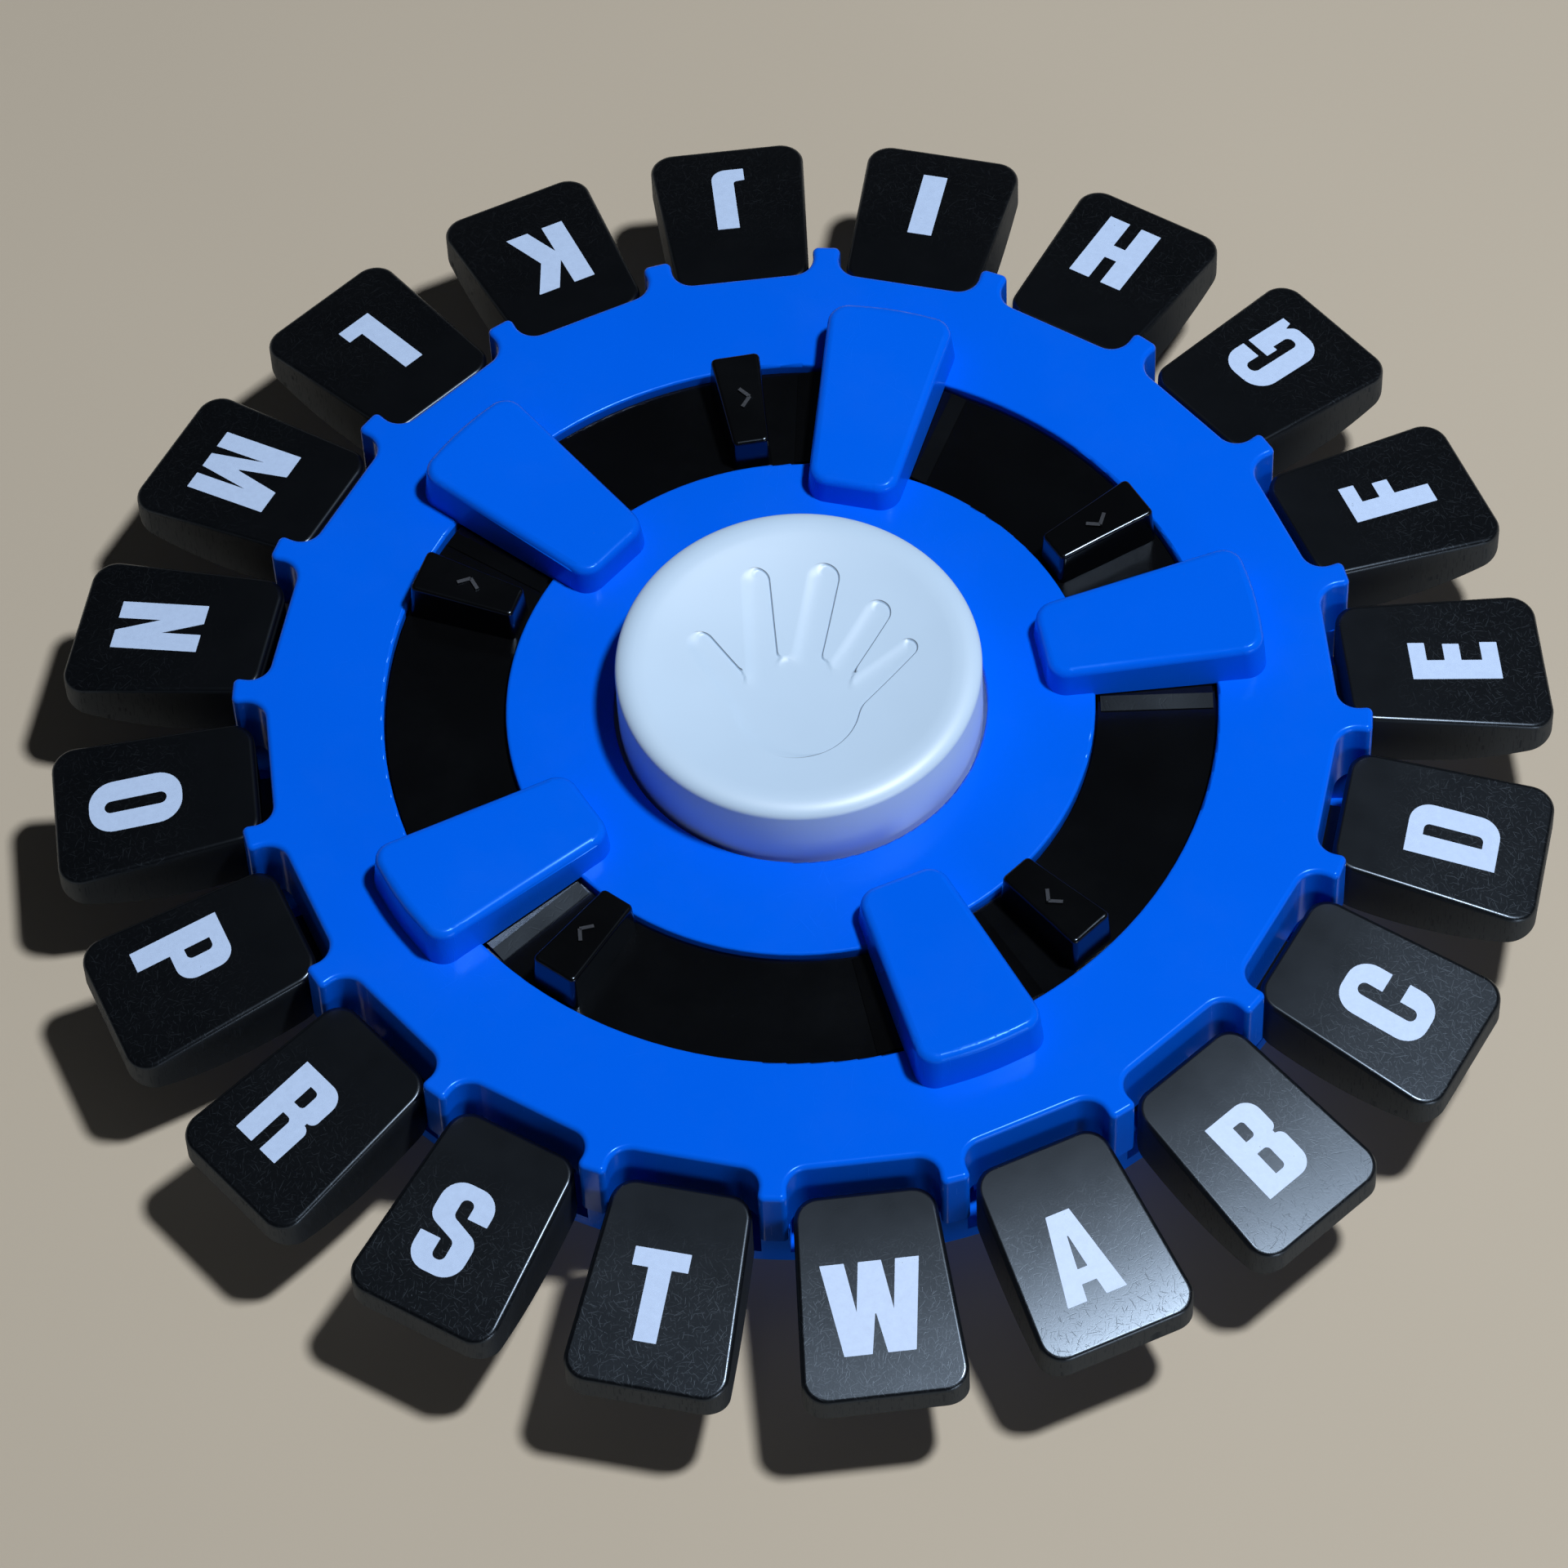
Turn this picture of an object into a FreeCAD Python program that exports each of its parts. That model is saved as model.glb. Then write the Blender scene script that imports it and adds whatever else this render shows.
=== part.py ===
"""Round word game board: twenty letter keys, a reset ring and a timer button on a blue hub.

Millimetres. The origin is the centre of the plane that the feet stand on and +Z is up.
Angles run anticlockwise from +X, seen from above. A piece that repeats around the board
is built along +X and turned into place.
"""
import FreeCAD, Part
import math
import os

Vector = FreeCAD.Vector
UP = Vector(0, 0, 1)
CENTRE = Vector(0, 0, 0)

# ---- how an edge is found again before it is rounded ----
NEAR = 0.01
EDGE_PROBES = 5

# ---- layout around the board ----
LETTERS = "ABCDEFGHIJKLMNOPRSTW"
FIRST_KEY_ANGLE = -63.0
BRIDGE_ANGLES = (80.7, 14.1, -64.4, -144.5, 140.7)
TAB_LEAD = 21.4              # a tab stands this far anticlockwise of its bridge
SCREW_ANGLES = (18, 90, 162, 234, 306)
HUB_SCREW_ANGLES = (30, 150, 270)
SPEAKER_ANGLE = 270.0
BOARD_ANGLE = 90.0
SLIDER_ANGLE = 198.0

# ---- running clearances ----
RUN_GAP = 0.08               # radial play of a shaft in its seat
MOVE_GAP = 0.3               # between faces that pass each other
SEAT_GAP = 0.2               # around a fixed piece in its pocket
SPRING_GAP = 0.1             # under the spring's first turn

# ---- top cover ----
COVER_TOP = 34.0
COVER_THICK = 2.4
COVER_WALL = 2.2
COVER_SKIRT = 13.0
COVER_EDGE = 0.9
NOTCH_OUT = 5.9              # from the keys' pivot to the notches' floor
NOTCH_DEPTH = 6.1
NOTCH_CORNER = 3.5
NOTCH_SIDE_GAP = 0.65
NUB_WIDTH = 4.8
NUB_CORNER = 1.0
SLOT_WIDTH = 19.7
SLOT_EDGE = 0.5

# ---- bridges over the slot ----
BRIDGE_INNER_LAP = 8.1       # of a bridge on the hub, inside the slot
BRIDGE_OUTER_LAP = 7.6
BRIDGE_INNER_WIDTH = 15.0
BRIDGE_OUTER_WIDTH = 22.4
BRIDGE_INNER_RISE = 5.4
BRIDGE_OUTER_RISE = 7.6
BRIDGE_DRAFT = 0.7
BRIDGE_CORNER = 3.4
BRIDGE_ARCH = 1.1
BRIDGE_EDGE = 1.3
BRIDGE_WALL = 2.0

# ---- reset ring ----
RING_DROP = 1.5              # ring face below the cover's top
RING_THICK = 2.4
RING_LIFT_GAP = 0.4          # ring flange to the cover's underside
RING_TRAVEL = 360.0 / len(LETTERS)
SLOT_GAP = 0.4
LAND_RISE = 0.8
LAND_HALF_ANGLE = 10.2
LAND_RAMP = 2.5              # length of the slope at each end of a land
LAND_STEP = 0.2              # height of the slope's foot
LAND_MARGIN = 0.8
TAB_INNER_WIDTH = 6.6
TAB_OUTER_WIDTH = 9.0
TAB_INNER_RISE = 5.0         # above the cover's top
TAB_OUTER_RISE = 6.2
TAB_DRAFT = 0.5
TAB_CORNER = 0.9
TAB_EDGE = 0.6
CHEVRON_SIZE = 4.6
CHEVRON_LINE = 0.7
CHEVRON_HALF_ANGLE = 50
CHEVRON_RISE = 0.3
CAM_THICK = 2.5
CAM_OVERHANG = 4.3           # how far the cam skirt stands outside the slot
CAM_ROOM = 1.0               # free height over the tail of a pressed key
CAM_TIP_WIDTH = 3.0
CAM_ROOT_WIDTH = 8.0
STOP_HALF_ANGLE = 2.0
STOP_SIZE = 2.6
STOP_DEPTH = 3.3
STOP_BLOCK_ANGLE = 4.0

# ---- letter keys ----
KEY_GAP = 2.3                # from a notch's floor to the key
KEY_LENGTH = 33.4
KEY_INNER_WIDTH = 22.1
KEY_OUTER_WIDTH = 26.6
KEY_CORNER = 4.0
KEY_EDGE = 0.8
KEY_DROP = 4.85              # key top at its inner end, below the cover's top
KEY_FALL = 5.9               # the top falls this much from the inner end to the tip
KEY_TIP_DEPTH = 4.8
KEY_ROOT_DEPTH = 10.5
KEY_BELLY = 3.0              # how far the underside bows below a straight line
KEY_WALL = 1.8
KEY_RIB = 1.6
KEY_PRESS_ANGLE = 10.0
PIVOT_OUT = 8.5              # from the ring's cam skirt to the keys' pivot
ARM_THICK = 4.4
ARM_WIDTH = 11.0
ARM_REACH = 6.0              # how far the arm runs on inside the cap
ARM_GAP = 0.8                # arm to the cover's skirt above it
BARREL_R = 3.0
TRUNNION_R = 1.9
TAIL_WIDTH = 6.0
TAIL_LAP = 0.5               # how far the tail reaches inside the cam skirt

# ---- centre button ----
BUTTON_R = 29.4
BUTTON_GAP = 0.7
BUTTON_RISE = 12.5
BUTTON_RIM = 2.6
BUTTON_RIM_EDGE = 1.2
BUTTON_DISH = 2.4
BUTTON_THICK = 2.4
BUTTON_WALL = 2.2
BUTTON_FLANGE = 1.6
BUTTON_FLANGE_THICK = 2.2
BUTTON_TRAVEL = 3.0
PLUNGER_R = 4.0
HAND_LENGTH = 37.5           # middle fingertip to the heel of the palm
HAND_DEPTH = 0.5

# ---- base shell ----
FOOT_PROUD = 2.0
FLOOR_THICK = 2.4
PAN_WALL = 2.4
PAN_INSET = 0.9              # pan's rim, inside the notches' floor
PAN_LEAN = 4.6               # how far the pan's wall leans in toward the floor
PAN_EDGE = 2.0
BAND_INSET = 2.3             # band, inside the nubs' tips
BAND_LOW = 11.0
BAND_TOP = 13.5
POST_WIDTH = 4.6
HUB_WALL = 2.3
HUB_ROOM = 0.9               # between the hub's wall and the screw bosses inside it
LEDGE_WIDTH = 2.3
LEDGE_DEPTH = 4.8
SADDLE_THICK = 2.0
SADDLE_GAP = 0.5
SADDLE_LENGTH = 6.0
HOLD_LENGTH = 4.0            # of the cover's rib over a saddle
GUIDE_WALL = 1.6
DECK_TOP = 18.6
DECK_THICK = 1.6
STOP_RING_WIDTH = 1.8
SPRING_COLLAR = 1.2
SPRING_COLLAR_HEIGHT = 1.6

# ---- screws and feet ----
SCREW_R = 1.25
SCREW_CLEAR = 0.1
SCREW_HEAD_R = 2.5
SCREW_HEAD_THICK = 1.6
SCREW_SLOT_WIDTH = 0.7
SCREW_SLOT_DEPTH = 0.8
SCREW_BITE = 8.0             # thread length inside the cover's boss
BOSS_R = 3.0
BOSS_FOOT_R = 4.1
BOSS_FOOT_TOP = 9.0
BOSS_GAP = 0.7               # between a boss and the ring's cam skirt
FOOT_R = 6.0
FOOT_SINK = 0.8

# ---- spring, switch and boards ----
SPRING_R = 12.0
SPRING_WIRE_R = 0.6
SPRING_COILS = 5
SWITCH_BOARD_R = 9.0
BOARD_THICK = 1.6
SWITCH_SIZE = 6.0
SWITCH_THICK = 3.5
SWITCH_STEM_R = 1.7
SWITCH_STEM = 1.4
SWITCH_SLACK = 0.3
BOARD_GAP = 2.8              # between the hub and the main board
BOARD_WIDTH = 34.0
BOARD_DEPTH = 22.0
STANDOFF = 3.0
STANDOFF_R = 2.2
CHIP_R = 8.0
CHIP_RISE = 1.8
CAPACITOR_R = 2.5
CAPACITOR_HEIGHT = 5.5
SOCKET_WIDTH = 7.0
SOCKET_DEPTH = 5.0
SOCKET_HEIGHT = 5.0
BOARD_PART_SIDE = 11.0       # capacitors and sockets, out from the board's middle
SPEAKER_R = 13.6
SPEAKER_THICK = 5.2
SPEAKER_RIM = 1.6
SPEAKER_MAGNET_R = 7.5
SPEAKER_MAGNET = 2.6
SPEAKER_CONE_DEPTH = 0.8
SPEAKER_GAP = 0.1            # between the hub and the speaker's cup
SPEAKER_CUP = 1.3
SPEAKER_CUP_HEIGHT = 2.6
GRILLE_HOLE_R = 1.0
GRILLE_PITCH = 4.2
GRILLE_RINGS = 2
GRILLE_SIDES = 6             # the holes stand in hexagons

# ---- batteries ----
CELL_R = 5.25
CELL_LENGTH = 44.5
CELL_CAP_R = 1.9
CELL_CAP = 1.0
CELL_COUNT = 3
CELL_PLAY = 0.3
CONTACT_ROOM = 2.4
CONTACT_THICK = 0.4
CONTACT_SIZE = 7.0
CONTACT_COIL_R = 2.4
CONTACT_STUD_R = 1.2
CHAMBER_WALL = 1.4
DOOR_LIP = 3.6
DOOR_THICK = 1.8
DOOR_CORNER = 3.0
DOOR_SCREW_TAIL = 6.5
DOOR_SCREW_LENGTH = 10.0

# ---- power switch ----
SWITCH_GAP = 12.5            # between the hub and the switch
SLIDER_TRAVEL = 2.5
SLIDER_WIDTH = 5.0
SLIDER_LENGTH = 12.0
SLIDER_THICK = 1.2
KNOB_LENGTH = 4.0
KNOB_WIDTH = 3.0
KNOB_PROUD = 1.0
SWITCH_BODY_LENGTH = 14.0
SWITCH_BODY_WIDTH = 8.6
SWITCH_BODY_THICK = 4.4

# ---- hand in the button's dish, in shares of its length ----
HAND_PALM = (0.03, -0.21, 0.26)                     # x, y and radius
HAND_FINGERS = ((-0.12, -0.27, -0.42, 0.11, 0.064),  # x and y at the palm and at the tip, and radius
                (-0.14, -0.03, -0.20, 0.45, 0.059),
                (0.01, 0.00, 0.09, 0.475, 0.059),
                (0.16, -0.03, 0.32, 0.29, 0.059),
                (0.22, -0.16, 0.45, 0.11, 0.053))

# ---- places that follow from the sizes above ----
PITCH = 360.0 / len(LETTERS)
COVER_UNDER = COVER_TOP - COVER_THICK
SEAM = COVER_TOP - COVER_SKIRT
BRIDGE_UNDER = COVER_TOP - RING_DROP + LAND_RISE + MOVE_GAP

HOLE_R = BUTTON_R + BUTTON_GAP
FLANGE_R = HOLE_R + BUTTON_FLANGE
GUIDE_R = FLANGE_R + MOVE_GAP
HUB_SCREW_CIRCLE_R = GUIDE_R + GUIDE_WALL + SEAT_GAP + BOSS_FOOT_R
HUB_R = HUB_SCREW_CIRCLE_R + BOSS_FOOT_R + HUB_ROOM + HUB_WALL
SLOT_INNER_R = HUB_R + LEDGE_WIDTH
SLOT_OUTER_R = SLOT_INNER_R + SLOT_WIDTH
RING_BORE_R = HUB_R + RUN_GAP
BRIDGE_INNER_R = SLOT_INNER_R - BRIDGE_INNER_LAP
BRIDGE_OUTER_R = SLOT_OUTER_R + BRIDGE_OUTER_LAP

RING_TOP = COVER_TOP - RING_DROP
FLANGE_TOP = COVER_UNDER - RING_LIFT_GAP
FLANGE_LOW = FLANGE_TOP - RING_THICK
CAM_OUTER_R = SLOT_OUTER_R + CAM_OVERHANG
CAM_INNER_R = CAM_OUTER_R - CAM_THICK
SCREW_CIRCLE_R = CAM_OUTER_R + BOSS_GAP + BOSS_R
FOOT_CIRCLE_R = SCREW_CIRCLE_R - SCREW_HEAD_R - SEAT_GAP - FOOT_R

PIVOT_R = CAM_OUTER_R + PIVOT_OUT
NOTCH_R = PIVOT_R + NOTCH_OUT
COVER_R = NOTCH_R + NOTCH_DEPTH
CAVITY_R = NOTCH_R - COVER_WALL
KEY_INNER_R = NOTCH_R + KEY_GAP
PAN_R = NOTCH_R - PAN_INSET
FLOOR_R = PAN_R - PAN_LEAN
BAND_R = COVER_R - BAND_INSET

PIVOT_Z = SEAM - ARM_GAP - ARM_THICK / 2
ARM_TOP = PIVOT_Z + ARM_THICK / 2
ARM_LOW = PIVOT_Z - ARM_THICK / 2
CAM_LOW = ARM_TOP + MOVE_GAP
TAIL_R = CAM_INNER_R - TAIL_LAP
TAIL_LIFT = (PIVOT_R - TAIL_R) * math.sin(math.radians(KEY_PRESS_ANGLE))
CAM_HEIGHT = TAIL_LIFT + CAM_ROOM
TRUNNION_HALF = ARM_WIDTH / 2 + SADDLE_GAP + SADDLE_THICK
KEY_OUTER_R = KEY_INNER_R + KEY_LENGTH
KEY_INNER_TOP = COVER_TOP - KEY_DROP
KEY_OUTER_TOP = KEY_INNER_TOP - KEY_FALL

FLOOR_LOW = FOOT_PROUD
FLOOR_TOP = FLOOR_LOW + FLOOR_THICK
LEDGE_TOP = FLANGE_LOW - SEAT_GAP / 2
DECK_LOW = DECK_TOP - DECK_THICK

BUTTON_TOP = COVER_TOP + BUTTON_RISE
BUTTON_UNDER = BUTTON_TOP - BUTTON_DISH - BUTTON_THICK
BUTTON_FLANGE_TOP = COVER_UNDER - MOVE_GAP
BUTTON_FLANGE_LOW = BUTTON_FLANGE_TOP - BUTTON_FLANGE_THICK
SWITCH_BASE = DECK_TOP + BOARD_THICK
SWITCH_TIP = SWITCH_BASE + SWITCH_THICK + SWITCH_STEM
PLUNGER_LOW = SWITCH_TIP + BUTTON_TRAVEL + SWITCH_SLACK

CELL_AXIS_Z = FLOOR_LOW + DOOR_THICK + CELL_PLAY + CELL_R
CELL_STEP = 2 * CELL_R + CELL_PLAY
CHAMBER_X = CELL_COUNT * CELL_STEP / 2 + CELL_PLAY
CHAMBER_Y = CELL_LENGTH / 2 + CONTACT_ROOM
BOARD_R = HUB_R + BOARD_GAP + BOARD_DEPTH / 2
BOARD_LOW = FLOOR_TOP + STANDOFF
SPEAKER_CIRCLE_R = HUB_R + SPEAKER_GAP + SPEAKER_CUP + SEAT_GAP + SPEAKER_R
SLIDER_CIRCLE_R = HUB_R + SWITCH_GAP + SWITCH_BODY_WIDTH / 2
SLIDER_LOW = FLOOR_TOP + SEAT_GAP
SWITCH_BODY_LOW = SLIDER_LOW + SLIDER_THICK + SEAT_GAP


# ---- shapes that the pieces share ----
def block(x0, x1, y0, y1, z0, z1):
    """A box between two corners."""
    return Part.makeBox(x1 - x0, y1 - y0, z1 - z0, Vector(x0, y0, z0))


def disc(radius, low, high, x=0.0, y=0.0):
    """An upright cylinder between two heights."""
    return Part.makeCylinder(radius, high - low, Vector(x, y, low), UP)


def ring(inner, outer, low, high, x=0.0, y=0.0):
    """A flat ring between two heights."""
    return disc(outer, low, high, x, y).cut(disc(inner, low, high, x, y))


def sector(inner, outer, low, high, start, sweep):
    """A piece of a ring that covers an angle."""
    corners = [Vector(inner, 0, low), Vector(outer, 0, low), Vector(outer, 0, high), Vector(inner, 0, high)]
    face = Part.Face(Part.makePolygon(corners + corners[:1]))
    return turned(face.revolve(CENTRE, UP, sweep), start)


def turned(shape, angle):
    """A copy of a shape, turned about the board's axis."""
    copy = shape.copy()
    copy.rotate(CENTRE, UP, angle)
    return copy


def moved(shape, x, y, z=0.0):
    """A copy of a shape, moved."""
    copy = shape.copy()
    copy.translate(Vector(x, y, z))
    return copy


def polar(radius, angle):
    """A point in the plan, as x and y."""
    return radius * math.cos(math.radians(angle)), radius * math.sin(math.radians(angle))


def joined(first, others):
    """One solid from a shape and those that touch it."""
    return first.fuse(others).removeSplitter()


def rounded_wire(corners, height):
    """A closed outline through corners given as (x, y, radius), each rounded to its radius."""
    spans = []
    for i, (x, y, radius) in enumerate(corners):
        corner = Vector(x, y, height)
        before = Vector(corners[i - 1][0], corners[i - 1][1], height)
        after = Vector(corners[(i + 1) % len(corners)][0], corners[(i + 1) % len(corners)][1], height)
        back = (before - corner).normalize()
        ahead = (after - corner).normalize()
        half = back.getAngle(ahead) / 2
        reach = radius / math.tan(half)
        middle = (back + ahead).normalize() * (radius / math.sin(half) - radius)
        spans.append((corner + back * reach, corner + middle, corner + ahead * reach))
    edges = []
    for i, (start, middle, end) in enumerate(spans):
        edges.append(Part.Arc(start, middle, end).toShape())
        edges.append(Part.LineSegment(end, spans[(i + 1) % len(spans)][0]).toShape())
    return Part.Wire(edges)


def prism(corners, low, high):
    """A rounded outline, raised between two heights."""
    return Part.Face(rounded_wire(corners, low)).extrude(Vector(0, 0, high - low))


def trapezoid(inner, outer, inner_width, outer_width, corner, arch=0.0):
    """Corners of an outline that widens outward, with an outer end that may bow."""
    half_in = inner_width / 2
    half_out = outer_width / 2
    corners = [(inner, half_in, corner), (inner, -half_in, corner), (outer, -half_out, corner)]
    if arch:
        turn = math.atan2(arch, half_out)
        corners.append((outer + arch, 0.0, 0.5 * half_out / math.tan(turn)))
    return corners + [(outer, half_out, corner)]


def side_profile(points, half_width):
    """A closed side view, given as (x, z) points, as thick as twice half_width across Y."""
    corners = [Vector(x, -half_width, z) for x, z in points]
    face = Part.Face(Part.makePolygon(corners + corners[:1]))
    return face.extrude(Vector(0, 2 * half_width, 0))


def edges_at(shape, height_at):
    """The edges that lie on a surface whose height is a function of x."""
    found = []
    for edge in shape.Edges:
        if edge.Degenerated:
            continue
        points = edge.discretize(EDGE_PROBES)
        if all(abs(point.z - height_at(point.x)) < NEAR for point in points):
            found.append(edge)
    return found


def rounded_top(shape, height_at, radius):
    """The shape with the edges of its top face rounded."""
    return shape.makeFillet(radius, edges_at(shape, height_at))


def slope(x0, z0, x1, z1):
    """A height that changes evenly with x, as a function."""
    return lambda x: z0 + (z1 - z0) * (x - x0) / (x1 - x0)


def under_slope(shape, height_at, x0, x1):
    """What lies under a sloping top, between two radii."""
    half = max(abs(shape.BoundBox.YMin), abs(shape.BoundBox.YMax)) + 1
    low = shape.BoundBox.ZMin - 1
    points = [(x0, low), (x1, low), (x1, height_at(x1)), (x0, height_at(x0))]
    return shape.common(side_profile(points, half))


# ---- top cover ----
def cover_outline():
    """Corners of the cover's edge: a nub on each side of every key, and a notch for the key."""
    half_pitch = math.radians(PITCH / 2)
    nub_x = COVER_R * math.cos(half_pitch) + NUB_WIDTH / 2 * math.sin(half_pitch)
    nub_y = COVER_R * math.sin(half_pitch) - NUB_WIDTH / 2 * math.cos(half_pitch)
    notch_y = KEY_INNER_WIDTH / 2 + NOTCH_SIDE_GAP
    notch = [(nub_x, -nub_y, NUB_CORNER), (NOTCH_R, -notch_y, NOTCH_CORNER),
             (NOTCH_R, notch_y, NOTCH_CORNER), (nub_x, nub_y, NUB_CORNER)]
    corners = []
    for i in range(len(LETTERS)):
        turn = math.radians(FIRST_KEY_ANGLE + i * PITCH)
        for x, y, radius in notch:
            corners.append((x * math.cos(turn) - y * math.sin(turn),
                            x * math.sin(turn) + y * math.cos(turn), radius))
    return corners


def drafted(low_corners, high_corners, low, high_at):
    """A boss whose walls lean in from one outline to another, under a sloping top."""
    ends = [x for x, y, radius in low_corners]
    x0 = min(ends) - 1
    x1 = max(ends) + 1
    high = max(high_at(x0), high_at(x1)) + 1
    walls = Part.makeLoft([rounded_wire(low_corners, low), rounded_wire(high_corners, high)], True, True)
    return under_slope(walls, high_at, x0, x1)


def bridge_top(x):
    """Height of a bridge's top face."""
    rise = slope(BRIDGE_INNER_R, BRIDGE_INNER_RISE, BRIDGE_OUTER_R, BRIDGE_OUTER_RISE)
    return COVER_TOP + rise(x)


def bridge_outline(inset):
    """Corners of a bridge, taken in by inset."""
    return trapezoid(BRIDGE_INNER_R + inset, BRIDGE_OUTER_R - inset, BRIDGE_INNER_WIDTH - 2 * inset,
                     BRIDGE_OUTER_WIDTH - 2 * inset, BRIDGE_CORNER, BRIDGE_ARCH)


def bridge():
    """One hollow bridge, open below where it crosses the slot."""
    shape = drafted(bridge_outline(0), bridge_outline(BRIDGE_DRAFT), BRIDGE_UNDER, bridge_top)
    shape = rounded_top(shape, bridge_top, BRIDGE_EDGE)
    high = COVER_TOP + BRIDGE_OUTER_RISE
    hollow = prism(bridge_outline(BRIDGE_WALL + BRIDGE_DRAFT), BRIDGE_UNDER - 1, high)
    hollow = under_slope(hollow, lambda x: bridge_top(x) - BRIDGE_WALL, BRIDGE_INNER_R, BRIDGE_OUTER_R)
    return shape.cut(hollow.common(ring(SLOT_INNER_R, SLOT_OUTER_R, BRIDGE_UNDER - 1, high)))


def hold_downs():
    """Two ribs that keep a key's trunnions in their saddles."""
    ribs = []
    low = PIVOT_Z + TRUNNION_R + MOVE_GAP
    half = HOLD_LENGTH / 2
    for side in (-1, 1):
        near = side * (ARM_WIDTH / 2 + SADDLE_GAP)
        far = side * TRUNNION_HALF
        ribs.append(block(PIVOT_R - half, PIVOT_R + half, min(near, far), max(near, far), low, COVER_UNDER))
    return ribs


def boss_places():
    """Centre and length of every screw boss, as (x, y)."""
    outer = [polar(SCREW_CIRCLE_R, angle) for angle in SCREW_ANGLES]
    return outer + [polar(HUB_SCREW_CIRCLE_R, angle) for angle in HUB_SCREW_ANGLES]


def top_cover():
    """Blue upper shell with notches, slot and bridges."""
    body = prism(cover_outline(), SEAM, COVER_TOP)
    body = rounded_top(body, lambda x: COVER_TOP, COVER_EDGE)
    body = body.cut([disc(CAVITY_R, SEAM, COVER_UNDER), disc(HOLE_R, COVER_UNDER, COVER_TOP),
                     ring(SLOT_INNER_R, SLOT_OUTER_R, COVER_UNDER, COVER_TOP)])
    slot_edges = [edge for edge in edges_at(body, lambda x: COVER_TOP) if slot_radius(edge)]
    body = body.makeFillet(SLOT_EDGE, slot_edges)
    added = [turned(bridge(), angle) for angle in BRIDGE_ANGLES]
    for angle in key_angles():
        added += [turned(rib, angle) for rib in hold_downs()]
    added += [disc(BOSS_R, SEAM, COVER_UNDER, x, y) for x, y in boss_places()]
    body = joined(body, added)
    return body.cut([disc(SCREW_R + SCREW_CLEAR, SEAM, COVER_UNDER - 1, x, y) for x, y in boss_places()])


def slot_radius(edge):
    """True for the round edges of the slot and the button's hole."""
    if not isinstance(edge.Curve, Part.Circle):
        return False
    return any(abs(edge.Curve.Radius - radius) < NEAR for radius in (HOLE_R, SLOT_INNER_R, SLOT_OUTER_R))


# ---- letter keys ----
def key_angles():
    """Angle of every key, in the order of the letters."""
    return [FIRST_KEY_ANGLE + i * PITCH for i in range(len(LETTERS))]


def key_outline(inset):
    """Corners of a key cap in plan, taken in by inset."""
    return trapezoid(KEY_INNER_R + inset, KEY_OUTER_R - inset, KEY_INNER_WIDTH - 2 * inset,
                     KEY_OUTER_WIDTH - 2 * inset, KEY_CORNER - inset / 2)


def key_top(x):
    """Height of a key's top face."""
    return slope(KEY_INNER_R, KEY_INNER_TOP, KEY_OUTER_R, KEY_OUTER_TOP)(x)


def key_side():
    """Side view of a cap: a straight top and an underside that bows like a boat's."""
    root = Vector(KEY_INNER_R, 0, KEY_INNER_TOP - KEY_ROOT_DEPTH)
    tip = Vector(KEY_OUTER_R, 0, KEY_OUTER_TOP - KEY_TIP_DEPTH)
    keel = (root + tip) * 0.5 - Vector(0, 0, KEY_BELLY)
    tip_top = Vector(KEY_OUTER_R, 0, KEY_OUTER_TOP)
    root_top = Vector(KEY_INNER_R, 0, KEY_INNER_TOP)
    edges = [Part.Arc(root, keel, tip).toShape(), Part.makeLine(tip, tip_top),
             Part.makeLine(tip_top, root_top), Part.makeLine(root_top, root)]
    face = Part.Face(Part.Wire(edges))
    face.translate(Vector(0, -KEY_OUTER_WIDTH, 0))
    return face.extrude(Vector(0, 2 * KEY_OUTER_WIDTH, 0))


def across(radius, half):
    """A cylinder across the key, about its pivot."""
    return Part.makeCylinder(radius, 2 * half, Vector(PIVOT_R, -half, PIVOT_Z), Vector(0, 1, 0))


def letter_key():
    """One key along +X: a hollow cap with a rib, on an arm with trunnions and a tail."""
    side = key_side()
    cap = prism(key_outline(0), 0, COVER_TOP).common(side)
    cap = rounded_top(cap, key_top, KEY_EDGE)
    hollow = prism(key_outline(KEY_WALL), 0, COVER_TOP)
    hollow = under_slope(hollow, lambda x: key_top(x) - KEY_WALL, KEY_INNER_R, KEY_OUTER_R)
    cap = cap.cut(hollow)
    rib_ends = (KEY_INNER_R + KEY_WALL / 2, KEY_OUTER_R - KEY_WALL / 2)
    rib = block(*rib_ends, -KEY_RIB / 2, KEY_RIB / 2, 0, COVER_TOP)
    rib = under_slope(rib.common(side), lambda x: key_top(x) - KEY_WALL / 2, KEY_INNER_R, KEY_OUTER_R)
    arm = block(PIVOT_R - BARREL_R, KEY_INNER_R + ARM_REACH, -ARM_WIDTH / 2, ARM_WIDTH / 2, ARM_LOW, ARM_TOP)
    tail = block(TAIL_R, PIVOT_R, -TAIL_WIDTH / 2, TAIL_WIDTH / 2, ARM_LOW, ARM_TOP)
    return joined(cap, [rib, arm, tail, across(BARREL_R, ARM_WIDTH / 2), across(TRUNNION_R, TRUNNION_HALF)])


# ---- reset ring ----
def tab_top(x):
    """Height of a tab's top face."""
    rise = slope(SLOT_INNER_R, TAB_INNER_RISE, SLOT_OUTER_R, TAB_OUTER_RISE)
    return COVER_TOP + rise(x)


def tab_outline(inset):
    """Corners of a tab in plan, taken in by inset."""
    return trapezoid(SLOT_INNER_R + LAND_MARGIN + inset, SLOT_OUTER_R - LAND_MARGIN - inset,
                     TAB_INNER_WIDTH - 2 * inset, TAB_OUTER_WIDTH - 2 * inset, TAB_CORNER)


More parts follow.
